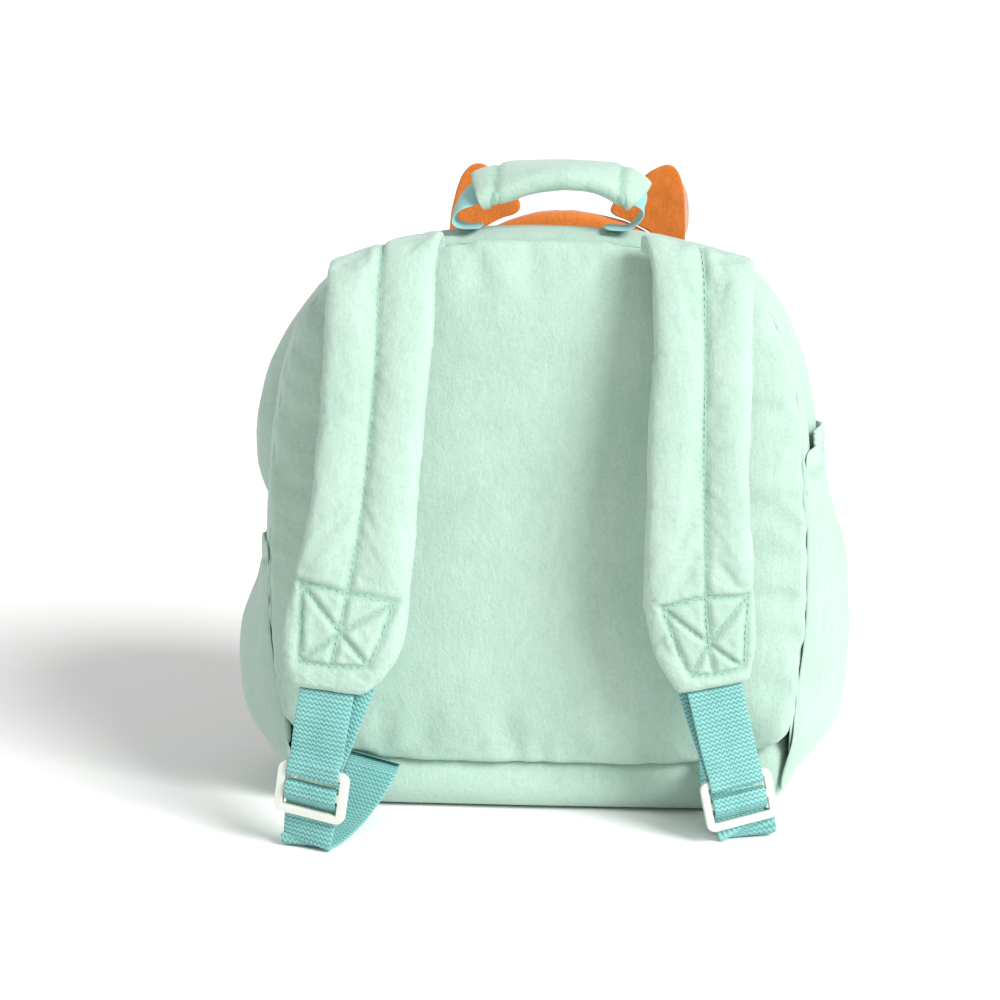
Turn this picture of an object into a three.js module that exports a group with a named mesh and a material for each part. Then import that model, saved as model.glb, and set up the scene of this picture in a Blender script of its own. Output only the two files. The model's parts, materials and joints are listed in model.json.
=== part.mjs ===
import * as THREE from 'three';

// A child's plush backpack with an animal head on its front. Millimetres, +Z up.
// The shoulder straps are on the -Y side and the animal looks along +Y.

// Body
const bodyHeight = 272;
const bodyHalfWidth = 126;
const rearDepth = 50;
const frontDepth = 48;
const clothWall = 3;
const panelPadding = 5;
const rearCrown = 7;
const frontCrown = 13;
const seamGap = 0.35;
const rearSeamHeight = 23;
const cornerHeight = 41;
const sidePuff = 17;
const frontTaper = 18;

// Zipper
const zipHalfWidth = 6;
const zipTapeHalfWidth = 9;
const zipTapeThickness = 1.2;
const zipCrease = 5;
const zipTeethWidth = 4.4;
const zipTeethHeight = 1.5;
const zipSliderLength = 11;
const zipSliderHeight = 4;
const zipPullLength = 22;
const zipPullThickness = 2;

// Base
const baseBulge = 4;
const baseCorner = 9;

// Side pockets
const pocketBulge = 25;
const pocketCloth = 2.4;
const pocketRear = 40;
const pocketFront = 40;
const pocketGather = 1.1;
const pocketGathers = 8;
const pocketGap = 0.9;

// Shoulder straps
const padWidth = 51;
const padThickness = 13;
const strapStandoff = 50;
const webWidth = 25;
const webThickness = 1.5;
const webGap = 0.4;
const padEndGap = 0.45;
const floorClearance = 0.5;

// Adjusters
const glideWidth = 34;
const glideHeight = 24;
const glideBar = 3.8;
const glideThickness = 3;
const glideCorner = 4;
const glideSlotClearance = 0.7;

// Carry handle
const handleSpan = 78;
const handleRise = 23;
const sleeveWidth = 30;
const sleeveThickness = 13;
const sleeveClearance = 1.1;

// Animal head
const headWidth = 152;
const headHeight = 112;
const headThickness = 30;
const headTop = 272;
const muzzleWidth = 74;
const muzzleHeight = 44;
const muzzleReach = 12;
const noseWidth = 20;
const noseHeight = 14;
const noseReach = 6;
const eyeWidth = 12;
const eyeReach = 5;
const earWidth = 38;
const earHeight = 46;
const earThickness = 9;
const innerEarThickness = 2;
const appliqueGap = 0.9;

const mint = { color: 0xcdecdc, roughness: 0.95, metalness: 0 };
const teal = { color: 0x76cfc5, roughness: 0.8, metalness: 0 };
const offWhite = { color: 0xf0f1ea, roughness: 0.35, metalness: 0 };
const orange = { color: 0xe8883c, roughness: 0.95, metalness: 0 };
const cream = { color: 0xf3e7d8, roughness: 0.95, metalness: 0 };
const dark = { color: 0x3b2a24, roughness: 0.5, metalness: 0 };

const bag = new THREE.Group();

function addPiece(name, geometry, finish, parent = bag) {
  const mesh = new THREE.Mesh(geometry, new THREE.MeshStandardMaterial(finish));
  mesh.name = name;
  parent.add(mesh);
  return mesh;
}

function catmull(a, b, c, d, f) {
  const slopeIn = (c - a) / 2;
  const slopeOut = (d - b) / 2;
  const cubic = 2 * b - 2 * c + slopeIn + slopeOut;
  const square = -3 * b + 3 * c - 2 * slopeIn - slopeOut;
  return ((cubic * f + square) * f + slopeIn) * f + b;
}

// The rows of a table with every column smoothed, at a share of the way down the table
function rowAt(rows, share) {
  const place = THREE.MathUtils.clamp(share, 0, 1) * (rows.length - 1);
  const first = Math.min(Math.floor(place), rows.length - 2);
  const near = (step) => rows[THREE.MathUtils.clamp(first + step, 0, rows.length - 1)];
  const row = {};
  for (const key of Object.keys(rows.at(-1))) {
    row[key] = catmull(near(-1)[key], near(0)[key], near(1)[key], near(2)[key], place - first);
  }
  return row;
}

// The row whose column holds the given value, for a column that only rises
function rowWhere(rows, column, value) {
  const last = rows.length - 1;
  let first = 0;
  while (first < last - 1 && rows[first + 1][column] <= value) first += 1;
  const span = rows[first + 1][column] - rows[first][column];
  const share = THREE.MathUtils.clamp((value - rows[first][column]) / span, 0, 1);
  return rowAt(rows, (first + share) / last);
}

// A closed body through rings of equal point counts. Point i of an end ring faces point n - 1 - i.
function loft(rings, closed = false) {
  const count = rings[0].length;
  const positions = rings.flat().flatMap((point) => point.toArray());
  const indices = [];
  for (let r = 0; r < rings.length - (closed ? 0 : 1); r += 1) {
    const next = ((r + 1) % rings.length) * count;
    for (let i = 0; i < count; i += 1) {
      const a = r * count + i;
      const j = (i + 1) % count;
      indices.push(a, r * count + j, next + j, a, next + j, next + i);
    }
  }
  if (closed) return faceOutward(positions, indices);
  const closeEnd = (start, flip) => {
    for (let i = 0; i < count / 2 - 1; i += 1) {
      const a = start + i;
      const b = start + i + 1;
      const c = start + count - 2 - i;
      const d = start + count - 1 - i;
      if (flip) indices.push(a, c, b, a, d, c);
      else indices.push(a, b, c, a, c, d);
    }
  };
  closeEnd(0, true);
  closeEnd((rings.length - 1) * count, false);
  return faceOutward(positions, indices);
}

function faceOutward(positions, indices) {
  const corner = (i) => new THREE.Vector3().fromArray(positions, 3 * indices[i]);
  let volume = 0;
  for (let i = 0; i < indices.length; i += 3) {
    volume += corner(i).dot(corner(i + 1).cross(corner(i + 2)));
  }
  if (volume < 0) indices.reverse();
  const geometry = new THREE.BufferGeometry();
  geometry.setAttribute('position', new THREE.Float32BufferAttribute(positions, 3));
  geometry.setIndex(indices);
  geometry.computeVertexNormals();
  return geometry;
}

function ringOf(count, pointAt) {
  return Array.from({ length: count }, (_, i) => pointAt((i + 0.5) / count));
}

function spread(count, valueAt) {
  return Array.from({ length: count + 1 }, (_, i) => valueAt(i / count));
}

// Rear outline of the body from its lower left corner over the top: shares of height and half width
const outlineRows = [
  { up: 0.153, left: 0.925, right: 0.92 },
  { up: 0.24, left: 0.985, right: 0.965 },
  { up: 0.33, left: 1.0, right: 0.985 },
  { up: 0.44, left: 1.0, right: 0.985 },
  { up: 0.56, left: 0.99, right: 0.98 },
  { up: 0.68, left: 0.965, right: 0.965 },
  { up: 0.78, left: 0.92, right: 0.93 },
  { up: 0.86, left: 0.865, right: 0.87 },
  { up: 0.92, left: 0.77, right: 0.785 },
  { up: 0.965, left: 0.6, right: 0.62 },
  { up: 0.99, left: 0.32, right: 0.34 },
];

const archPoints = [
  ...outlineRows.map((row) => new THREE.Vector2(-row.left * bodyHalfWidth, row.up * bodyHeight)),
  new THREE.Vector2(0, 0.998 * bodyHeight),
  ...outlineRows.toReversed().map((row) => new THREE.Vector2(row.right * bodyHalfWidth, row.up * bodyHeight)),
];
const arch = new THREE.SplineCurve(archPoints);
arch.arcLengthDivisions = 400;
const archFoot = outlineRows[0];

// A point off the arch by a distance, at a share of its length and a depth
function archPoint(along, off, y) {
  const point = arch.getPointAt(along);
  const tangent = arch.getTangentAt(along);
  return new THREE.Vector3(point.x - tangent.y * off, y, point.y + tangent.x * off);
}

// How far the two halves of the side wall swell, as shares of the side puff, and how far the front
// outline lies inside the rear one, as a share of the front taper
const puffRows = [
  { along: 0.0, rear: 0.12, front: 0.12, inset: 0 },
  { along: 0.1, rear: 0.14, front: 0.16, inset: 0 },
  { along: 0.13, rear: 0.18, front: 0.3, inset: 0 },
  { along: 0.155, rear: 0.2, front: 1.0, inset: 0 },
  { along: 0.2, rear: 0.22, front: 1.3, inset: 0 },
  { along: 0.255, rear: 0.22, front: 1.1, inset: 0.2 },
  { along: 0.31, rear: 0.2, front: 0.65, inset: 0.6 },
  { along: 0.37, rear: 0.16, front: 0.3, inset: 0.92 },
  { along: 0.44, rear: 0.2, front: 0.2, inset: 1 },
  { along: 0.52, rear: 0.22, front: 0.15, inset: 1 },
  { along: 0.6, rear: 0.18, front: 0.2, inset: 0.98 },
  { along: 0.67, rear: 0.16, front: 0.32, inset: 0.72 },
  { along: 0.73, rear: 0.17, front: 0.42, inset: 0.3 },
  { along: 0.8, rear: 0.18, front: 0.45, inset: 0.04 },
  { along: 0.87, rear: 0.14, front: 0.3, inset: 0 },
  { along: 0.94, rear: 0.14, front: 0.14, inset: 0 },
  { along: 1.0, rear: 0.12, front: 0.12, inset: 0 },
];

function wallOff(along, y) {
  const puff = rowWhere(puffRows, 'along', along);
  const inRear = y < 0;
  const depth = (inRear ? rearDepth : frontDepth) - zipHalfWidth;
  const fromSeam = THREE.MathUtils.clamp((inRear ? y + rearDepth : frontDepth - y) / depth, 0, 1);
  const swell = sidePuff * (inRear ? puff.rear : puff.front);
  const inset = inRear ? 0 : frontTaper * puff.inset * (1 - fromSeam);
  return swell * Math.sin(Math.PI * fromSeam) ** 0.8 - zipCrease * fromSeam ** 7 - inset;
}

// How many stations the side wall has along the arch, and how many across each half of it
const gussetSteps = 32;
const gussetStepsAcross = 4;

// Half of the padded side wall: a swept strip with a cloth wall, open to both sides
function gusset(rearEdge, frontEdge) {
  return loft(
    spread(gussetSteps, (along) => {
      const outer = spread(gussetStepsAcross, (s) => {
        const y = THREE.MathUtils.lerp(rearEdge, frontEdge, s);
        return archPoint(along, wallOff(along, y), y);
      });
      const inner = spread(gussetStepsAcross, (s) => {
        const y = THREE.MathUtils.lerp(frontEdge, rearEdge, s);
        return archPoint(along, wallOff(along, y) - clothWall, y);
      });
      return [...outer, ...inner];
    }),
  );
}

addPiece('rear_gusset', gusset(-rearDepth, -zipHalfWidth), mint);
addPiece('front_gusset', gusset(zipHalfWidth, frontDepth), mint);

// Zipper: a tape under the two edges of the side wall, with its teeth on it
const zipTapeOff = -zipCrease - clothWall - seamGap;

// The band has its corners where the side wall has them, so the two run evenly apart.
function archBand(halfWidth, low, high) {
  return loft(
    spread(gussetSteps, (along) => [
      archPoint(along, high, -halfWidth),
      archPoint(along, high, halfWidth),
      archPoint(along, low, halfWidth),
      archPoint(along, low, -halfWidth),
    ]).slice(1, -1),
  );
}

const zipTeethTop = zipTapeOff + seamGap + zipTeethHeight;
addPiece('zipper_tape', archBand(zipTapeHalfWidth, zipTapeOff - zipTapeThickness, zipTapeOff), mint);
addPiece('zipper_teeth', archBand(zipTeethWidth / 2, zipTapeOff + seamGap, zipTeethTop), offWhite);

// The slider stands on the teeth above the left pocket, with its pull hanging down in the crease
const sliderAlong = 0.27;

function onArch(mesh, along, off, y) {
  const tangent = arch.getTangentAt(along);
  mesh.position.copy(archPoint(along, off, y));
  mesh.rotation.y = -Math.atan2(tangent.y, tangent.x);
}

const sliderShape = new THREE.Shape();
sliderShape.moveTo(-zipSliderLength / 2, -zipTeethWidth * 0.65);
sliderShape.lineTo(zipSliderLength * 0.2, -zipTeethWidth * 0.65);
sliderShape.lineTo(zipSliderLength / 2, -zipTeethWidth);
sliderShape.lineTo(zipSliderLength / 2, zipTeethWidth);
sliderShape.lineTo(zipSliderLength * 0.2, zipTeethWidth * 0.65);
sliderShape.lineTo(-zipSliderLength / 2, zipTeethWidth * 0.65);
sliderShape.closePath();
const sliderBody = new THREE.ExtrudeGeometry(sliderShape, {
  depth: zipSliderHeight - 2 * zipTapeThickness / 3,
  bevelThickness: zipTapeThickness / 3,
  bevelSize: zipTapeThickness / 3,
  bevelSegments: 1,
});
const slider = addPiece('zipper_slider', sliderBody, offWhite);
onArch(slider, sliderAlong, zipTeethTop + seamGap + zipTapeThickness / 3, 0);

const pullShape = new THREE.Shape();
pullShape.absarc(-zipPullLength, 0, zipTeethWidth * 0.8, Math.PI / 2, (3 * Math.PI) / 2);
pullShape.absarc(0, 0, zipTeethWidth * 0.55, -Math.PI / 2, Math.PI / 2);
const pullBody = new THREE.ExtrudeGeometry(pullShape, {
  depth: zipPullThickness,
  bevelEnabled: false,
  curveSegments: 8,
});
const pull = addPiece('zipper_pull', pullBody, offWhite);
onArch(pull, sliderAlong, zipTeethTop + 2 * seamGap + zipSliderHeight, 0);

// Bottom seam of both panels, which is also the rim of the base
function seamHeight(x) {
  const share = Math.min(Math.abs(x) / (bodyHalfWidth * archFoot.left), 1);
  return rearSeamHeight + (cornerHeight - rearSeamHeight) * share ** 5;
}

// The body's outline in front view as one ring: the arch, then back along the bottom seam
const outlineCount = 48;
const archCount = 36;

function bodyOutline(seamY) {
  const points = spread(archCount, (along) => {
    const point = archPoint(along, wallOff(along, seamY), seamY);
    return new THREE.Vector2(point.x, point.z);
  });
  const seamCount = outlineCount - archCount - 1;
  const right = points[archCount].x;
  const left = points[0].x;
  for (let i = 1; i <= seamCount; i += 1) {
    const x = THREE.MathUtils.lerp(right, left, i / (seamCount + 1));
    points.push(new THREE.Vector2(x, seamHeight(x) + seamGap));
  }
  // The ring starts in the middle of the top, so that its end caps pair up left with right.
  const half = archCount / 2;
  return [...points.slice(half), ...points.slice(0, half)];
}

// Dents and pulls of the padded back: places and lengths as shares of the body's half width and height
const backDents = [
  { across: -0.52, up: 0.93, reach: 0.1, long: 0.16, depth: 0.22, turn: 40 },
  { across: 0.03, up: 0.955, reach: 0.05, long: 0.14, depth: 0.2, turn: 100 },
  { across: 0.42, up: 0.945, reach: 0.06, long: 0.15, depth: 0.22, turn: 130 },
  { across: -0.6, up: 0.13, reach: 0.06, long: 0.14, depth: 0.2, turn: 60 },
  { across: -0.22, up: 0.105, reach: 0.05, long: 0.1, depth: 0.18, turn: 95 },
  { across: 0.6, up: 0.12, reach: 0.06, long: 0.12, depth: 0.2, turn: 110 },
];
const frontDents = [
  { across: -0.5, up: 0.14, reach: 0.08, long: 0.16, depth: 0.14, turn: 60 },
  { across: 0.5, up: 0.14, reach: 0.08, long: 0.16, depth: 0.14, turn: 120 },
  { across: 0, up: 0.12, reach: 0.07, long: 0.14, depth: 0.12, turn: 90 },
];

function dentDepth(dents, x, z) {
  return dents.reduce((sum, dent) => {
    const dx = x / bodyHalfWidth - dent.across;
    const dz = ((z / bodyHeight - dent.up) * bodyHeight) / bodyHalfWidth;
    const turn = THREE.MathUtils.degToRad(dent.turn);
    const alongDent = (dx * Math.cos(turn) + dz * Math.sin(turn)) / dent.long;
    const acrossDent = (dz * Math.cos(turn) - dx * Math.sin(turn)) / dent.reach;
    return sum + dent.depth * Math.exp(-(alongDent ** 2) - acrossDent ** 2);
  }, 0);
}

// How far from the centre to the outline a point lies, as a share
function outlineShare(outline, centre, x, z) {
  const reach = new THREE.Vector2(x - centre.x, z - centre.y);
  if (reach.length() < 1e-6) return 0;
  for (let i = 0; i < outline.length; i += 1) {
    const a = outline[i].clone().sub(centre);
    const b = outline[(i + 1) % outline.length].clone().sub(centre);
    const area = a.cross(b);
    const toA = reach.cross(b) / area;
    const toB = a.cross(reach) / area;
    if (toA >= 0 && toB >= 0) return toA + toB;
  }
  return 1;
}

const flatBack = [0.05, 0.6, 0.95, 0.992];
const curvedBack = [0.05, 0.3, 0.52, 0.72, 0.88, 0.98];
const padScales = [0.985, 0.91, 0.74, 0.45, 0.05];

// A padded piece that lies on a seat and swells away from it. side is the way it faces, edge its
// thickness at the seam and crown how far its middle rises above that.
function swollenPad({ outline, centre, side, seat, edge, crown, recess = 0, dents = [], backScales = flatBack }) {
  const face = (x, z) => {
    const scale = Math.min(outlineShare(outline, centre, x, z), 1);
    const swell = (1 - scale ** 3.2) ** 0.8;
    return seat(x, z) + side * (edge + crown * swell * (1 - dentDepth(dents, x, z)));
  };
  const ringAt = (scale, depthAt) =>
    outline.map((point) => {
      const x = THREE.MathUtils.lerp(centre.x, point.x, scale);
      const z = THREE.MathUtils.lerp(centre.y, point.y, scale);
      return new THREE.Vector3(x, depthAt(x, z, scale), z);
    });
  const back = (x, z, scale) => seat(x, z) + side * recess * (1 - THREE.MathUtils.smoothstep(scale, 0.6, 0.95));
  const rings = [
    ...backScales.map((scale) => ringAt(scale, back)),
    ringAt(1, (x, z) => seat(x, z) + side * edge * 0.45),
    ...padScales.map((scale) => ringAt(scale, face)),
  ];
  return { geometry: loft(rings), face };
}

const bodyCentre = new THREE.Vector2(0, bodyHeight * 0.5);

function bodyPanel(side, depth, crown, dents) {
  return swollenPad({
    outline: bodyOutline(side * depth),
    centre: bodyCentre,
    side,
    seat: () => side * (depth + seamGap),
    edge: panelPadding,
    crown,
    recess: crown * 0.45,
    dents,
  });
}

const backPanel = bodyPanel(-1, rearDepth, rearCrown, backDents);
const frontPanel = bodyPanel(1, frontDepth, frontCrown, frontDents);
addPiece('back_panel', backPanel.geometry, mint);
addPiece('front_panel', frontPanel.geometry, mint);

// Base: a tray whose rim follows the bottom seam and whose underside lies flat on the floor
const baseDepthHalf = (rearDepth + frontDepth) / 2;
const baseCentreY = (frontDepth - rearDepth) / 2;
const baseHalfWidth = archFoot.left * bodyHalfWidth;
const baseRows = [
  { up: 0, grow: -1.0 },
  { up: 0.06, grow: -0.25 },
  { up: 0.3, grow: 0.4 },
  { up: 0.65, grow: 0.42 },
  { up: 1, grow: 0 },
];

function basePoint(turn, grow, z, wall) {
  const power = 0.26;
  const angle = turn * 2 * Math.PI;
  const cos = Math.cos(angle);
  const sin = Math.sin(angle);
  const halfX = baseHalfWidth + grow - wall;
  const halfY = baseDepthHalf + grow - wall;
  const x = halfX * Math.sign(cos) * Math.abs(cos) ** power;
  const y = baseCentreY + halfY * Math.sign(sin) * Math.abs(sin) ** power;
  return new THREE.Vector3(x, y, z);
}

function baseTray() {
  const count = 34;
  const level = (row, wall) => {
    const grow = row.grow > 0 ? row.grow * baseBulge * 2 : row.grow * baseCorner;
    return ringOf(count, (turn) => {
      const flat = basePoint(turn, grow, 0, wall);
      const rim = seamHeight(flat.x) - seamGap;
      flat.z = Math.max(row.up * rim, wall);
      return flat;
    });
  };
  const disc = (scale, z) =>
    ringOf(count, (turn) => {
      const point = basePoint(turn, -baseCorner, z, 0);
      point.x *= scale;
      point.y = baseCentreY + (point.y - baseCentreY) * scale;
      return point;
    });
  return loft([
    disc(0.04, 0),
    disc(0.5, 0),
    ...baseRows.map((row) => level(row, 0)),
    ...baseRows.toReversed().map((row) => level(row, clothWall)),
    disc(0.5, clothWall),
    disc(0.04, clothWall),
  ]);
}

addPiece('base_panel', baseTray(), mint);

// Side pockets: a puffed sheet each side, sewn on at the back, front and floor, with a gathered mouth.
// up is a share of the body height, out how far the sheet stands beyond the body's half width, as a share of
// the pocket's bulge, and gather a share of its gathers.
const leftPocketRows = [
  { up: 0.022, out: -0.05, gather: 0.3 },
  { up: 0.055, out: 0.4, gather: 0.3 },
  { up: 0.1, out: 0.64, gather: 0.1 },
  { up: 0.17, out: 0.84, gather: 0 },
  { up: 0.25, out: 0.88, gather: 0 },
  { up: 0.31, out: 0.76, gather: 0.2 },
  { up: 0.36, out: 0.56, gather: 0.6 },
  { up: 0.395, out: 0.36, gather: 0.9 },
  { up: 0.43, out: 0.26, gather: 1 },
  { up: 0.47, out: 0.24, gather: 0.9 },
];
const rightPocketRows = [
  { up: 0.022, out: -0.2, gather: 0.3 },
  { up: 0.055, out: 0.14, gather: 0.3 },
  { up: 0.1, out: 0.52, gather: 0.1 },
  { up: 0.18, out: 0.74, gather: 0 },
  { up: 0.28, out: 0.8, gather: 0 },
  { up: 0.38, out: 0.77, gather: 0.2 },
  { up: 0.45, out: 0.68, gather: 0.6 },
  { up: 0.51, out: 0.44, gather: 0.9 },
  { up: 0.57, out: 0.3, gather: 1 },
  { up: 0.64, out: 0.1, gather: 0.9 },
];

// How far out the body's side lies at a height and depth
function wallHalfWidth(side, z, y) {
  const station = (step) => {
    const along = step / gussetSteps;
    return archPoint(side < 0 ? along : 1 - along, Math.max(wallOff(side < 0 ? along : 1 - along, y), 0), y);
  };
  let lower = station(0);
  if (z <= lower.z) return Math.abs(lower.x) + baseBulge * 0.9;
  for (let step = 1; step < gussetSteps / 2; step += 1) {
    const upper = station(step);
    const share = (z - lower.z) / (upper.z - lower.z);
    if (share <= 1) return Math.abs(THREE.MathUtils.lerp(lower.x, upper.x, share));
    lower = upper;
  }
  return Math.abs(lower.x);
}

function sidePocket(side, rows) {
  const across = 14;
  const levels = 11;
  return loft(
    spread(levels, (share) => {
      const row = rowAt(rows, share);
      const z = row.up * bodyHeight;
      const rearSeat = wallHalfWidth(side, z, -pocketRear);
      const frontSeat = wallHalfWidth(side, z, pocketFront);
      const skin = (s, inward) => {
        const y = THREE.MathUtils.lerp(-pocketRear, pocketFront, s);
        const edge = Math.abs(2 * s - 1);
        const seat = THREE.MathUtils.lerp(rearSeat, frontSeat, s);
        const reach = bodyHalfWidth + pocketBulge * row.out - pocketCloth - pocketGap;
        const bulge = Math.max(reach - seat, 0) * (1 - edge ** 2.6) ** 0.7;
        const ripple = pocketGather * row.gather * (1 - edge ** 4) * Math.cos(2 * Math.PI * pocketGathers * s);
        const sheet = Math.max(seat + bulge + ripple, wallHalfWidth(side, z, y));
        return new THREE.Vector3(side * (sheet + pocketGap + (inward ? 0 : pocketCloth)), y, z);
      };
      const outer = spread(across, (s) => skin(s, false));
      const inner = spread(across, (s) => skin(1 - s, true));
      return [...outer, ...inner];
    }),
  );
}

addPiece('side_pocket_left', sidePocket(-1, leftPocketRows), mint);
addPiece('side_pocket_right', sidePocket(1, rightPocketRows), mint);

// Straps. Each row of a path gives the place as shares of the body's half width, the strap's standoff from
// the back and the body height, the width and thickness as shares of the strap's, and how far the width is
// turned about the upright and rolled about the line of sight, in degrees.
const backPlane = -(rearDepth + seamGap + panelPadding + rearCrown);

// A frame at each place of a path: ahead along it, wide across it and face square to both
function framesAlong(sections, places, wideAt, square = true) {
  return sections.map((row, i) => {
    const ahead = new THREE.Vector3()
      .subVectors(places[Math.min(i + 1, places.length - 1)], places[Math.max(i - 1, 0)])
      .normalize();
    const wide = wideAt(row);
    if (square) wide.addScaledVector(ahead, -wide.dot(ahead));
    wide.normalize();
    const face = new THREE.Vector3().crossVectors(wide, ahead).normalize();
    return { row, place: places[i], ahead, wide, face };
  });
}

function strapFrames(rows, steps, square = true) {
  const sections = spread(steps, (share) => rowAt(rows, share));
  const places = sections.map(
    (row) =>
      new THREE.Vector3(row.across * bodyHalfWidth, backPlane - row.off * strapStandoff, row.up * bodyHeight),
  );
  return framesAlong(sections, places, (row) => {
    const turn = THREE.MathUtils.degToRad(row.turn);
    const roll = THREE.MathUtils.degToRad(row.roll);
    return new THREE.Vector3(Math.cos(turn) * Math.cos(roll), Math.sin(turn), Math.sin(roll));
  }, square);
}

function strapPoint(frame, across, through) {
  return frame.place.clone().addScaledVector(frame.wide, across).addScaledVector(frame.face, through);
}

// A padded strap: round edges, flat in the middle
function paddedStrap(rows, steps, width, thickness) {
  return loft(
    strapFrames(rows, steps, false).map((frame) =>
      ringOf(12, (turn) => {
        const angle = 2 * Math.PI * turn;
        const across = Math.sign(Math.cos(angle)) * Math.abs(Math.cos(angle)) ** 0.65;
        const through = Math.sign(Math.sin(angle)) * Math.abs(Math.sin(angle)) ** 0.8;
        const half = { wide: (width * frame.row.wide) / 2, thick: (thickness * frame.row.thick) / 2 };
        return strapPoint(frame, half.wide * across, half.thick * through);
      }),
    ),
  );
}

function flatStrap(frames, width, thickness) {
  return loft(
    frames.map((frame) => [
      strapPoint(frame, -width / 2, -thickness / 2),
      strapPoint(frame, width / 2, -thickness / 2),
      strapPoint(frame, width / 2, thickness / 2),
      strapPoint(frame, -width / 2, thickness / 2),
    ]),
  );
}

const padSteps = 16;
const leftPadRows = [
  { across: -0.53, off: -0.02, up: 0.958, wide: 1.06, thick: 0.36, turn: 0, roll: 17 },
  { across: -0.53, off: 0.05, up: 0.982, wide: 1.04, thick: 0.45, turn: 0, roll: 16 },
  { across: -0.534, off: 0.2, up: 0.978, wide: 1.02, thick: 0.62, turn: 0, roll: 13 },
  { across: -0.54, off: 0.33, up: 0.93, wide: 1.0, thick: 0.9, turn: 0, roll: 6 },
  { across: -0.543, off: 0.5, up: 0.83, wide: 1.0, thick: 1, turn: -2, roll: 2 },
  { across: -0.563, off: 0.64, up: 0.7, wide: 1.0, thick: 1, turn: -3, roll: 0 },
  { across: -0.59, off: 0.78, up: 0.56, wide: 1.02, thick: 1, turn: -4, roll: -2 },
  { across: -0.63, off: 0.9, up: 0.44, wide: 1.05, thick: 1, turn: -5, roll: -3 },
  { across: -0.662, off: 0.98, up: 0.36, wide: 1.06, thick: 0.95, turn: -6, roll: -4 },
  { across: -0.69, off: 1.02, up: 0.31, wide: 0.9, thick: 0.8, turn: -6, roll: -5 },
  { across: -0.715, off: 1.04, up: 0.276, wide: 0.66, thick: 0.55, turn: -6, roll: -6 },
];
const rightPadRows = [
  { across: 0.572, off: -0.02, up: 0.958, wide: 1.02, thick: 0.36, turn: 0, roll: -15 },
  { across: 0.575, off: 0.05, up: 0.982, wide: 1.0, thick: 0.45, turn: 0, roll: -14 },
  { across: 0.588, off: 0.21, up: 0.978, wide: 0.95, thick: 0.62, turn: 0, roll: -11 },
  { across: 0.6, off: 0.36, up: 0.93, wide: 0.91, thick: 0.9, turn: 0, roll: -6 },
  { across: 0.6, off: 0.54, up: 0.82, wide: 0.9, thick: 1, turn: 2, roll: -2 },
  { across: 0.596, off: 0.66, up: 0.7, wide: 0.91, thick: 1, turn: 3, roll: 0 },
  { across: 0.594, off: 0.71, up: 0.59, wide: 0.93, thick: 1, turn: 4, roll: 0 },
  { across: 0.596, off: 0.7, up: 0.49, wide: 0.97, thick: 1, turn: 5, roll: 2 },
  { across: 0.604, off: 0.64, up: 0.41, wide: 0.97, thick: 0.95, turn: 6, roll: 4 },
  { across: 0.625, off: 0.57, up: 0.335, wide: 0.88, thick: 0.85, turn: 7, roll: 7 },
  { across: 0.657, off: 0.52, up: 0.268, wide: 0.64, thick: 0.55, turn: 8, roll: 10 },
];

addPiece('shoulder_pad_left', paddedStrap(leftPadRows, padSteps, padWidth, padThickness), mint);
addPiece('shoulder_pad_right', paddedStrap(rightPadRows, padSteps, padWidth, padThickness), mint);

// Webbing. The upper strap is sewn to the pad's end, turns round the adjuster's top bar and goes back up behind
// itself. The lower one comes up from the bottom seam and the floor, and is threaded over the middle bar.
const slotWidth = webWidth + 2 * glideSlotClearance;
const leftWebRows = [
  { across: -0.738, off: 1.09, up: 0.215, turn: -9, roll: -5 },
  { across: -0.755, off: 1.085, up: 0.165, turn: -12, roll: -3 },
  { across: -0.775, off: 1.075, up: 0.102, turn: -14, roll: -1 },
];
const rightWebRows = [
  { across: 0.69, off: 0.565, up: 0.205, turn: 10, roll: 9 },
  { across: 0.722, off: 0.575, up: 0.145, turn: 13, roll: 8 },
  { across: 0.752, off: 0.57, up: 0.075, turn: 16, roll: 7 },
];

// The lower strap lies on the floor behind its loop and climbs to the seam.
const leftFloorRows = [
  { across: -0.8, off: 1.02, up: 0.009, turn: -26, roll: 0 },
  { across: -0.793, off: 0.93, up: 0.0045, turn: -26, roll: 0 },
  { across: -0.76, off: 0.75, up: 0.006, turn: -26, roll: 0 },
  { across: -0.7, off: 0.4, up: 0.022, turn: -24, roll: 0 },
  { across: -0.635, off: 0.12, up: 0.062, turn: -14, roll: 3 },
  { across: -0.6, off: -0.04, up: 0.1, turn: -4, roll: 6 },
];
const rightFloorRows = [
  { across: 0.79, off: 0.46, up: 0.009, turn: 26, roll: 0 },
  { across: 0.785, off: 0.38, up: 0.0045, turn: 26, roll: 0 },
  { across: 0.765, off: 0.27, up: 0.006, turn: 26, roll: 0 },
  { across: 0.735, off: 0.16, up: 0.022, turn: 20, roll: 0 },
  { across: 0.71, off: 0.04, up: 0.06, turn: 10, roll: -4 },
  { across: 0.7, off: -0.04, up: 0.108, turn: 3, roll: -8 },
];

// Clear of a bar by the webbing's gap: over it, beside it, round its corner, and over a layer that is on it
const barHalf = glideBar / 2;
const barPitch = (glideHeight - glideBar) / 2;
const pastBar = webGap + webThickness / 2;
const overBar = glideThickness / 2 + pastBar;
const besideBar = barHalf + pastBar;
const cornerDown = barHalf + 0.78 * pastBar;
const cornerThrough = overBar - 0.3 * pastBar;
const overLayer = overBar + webThickness + webGap;

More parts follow.
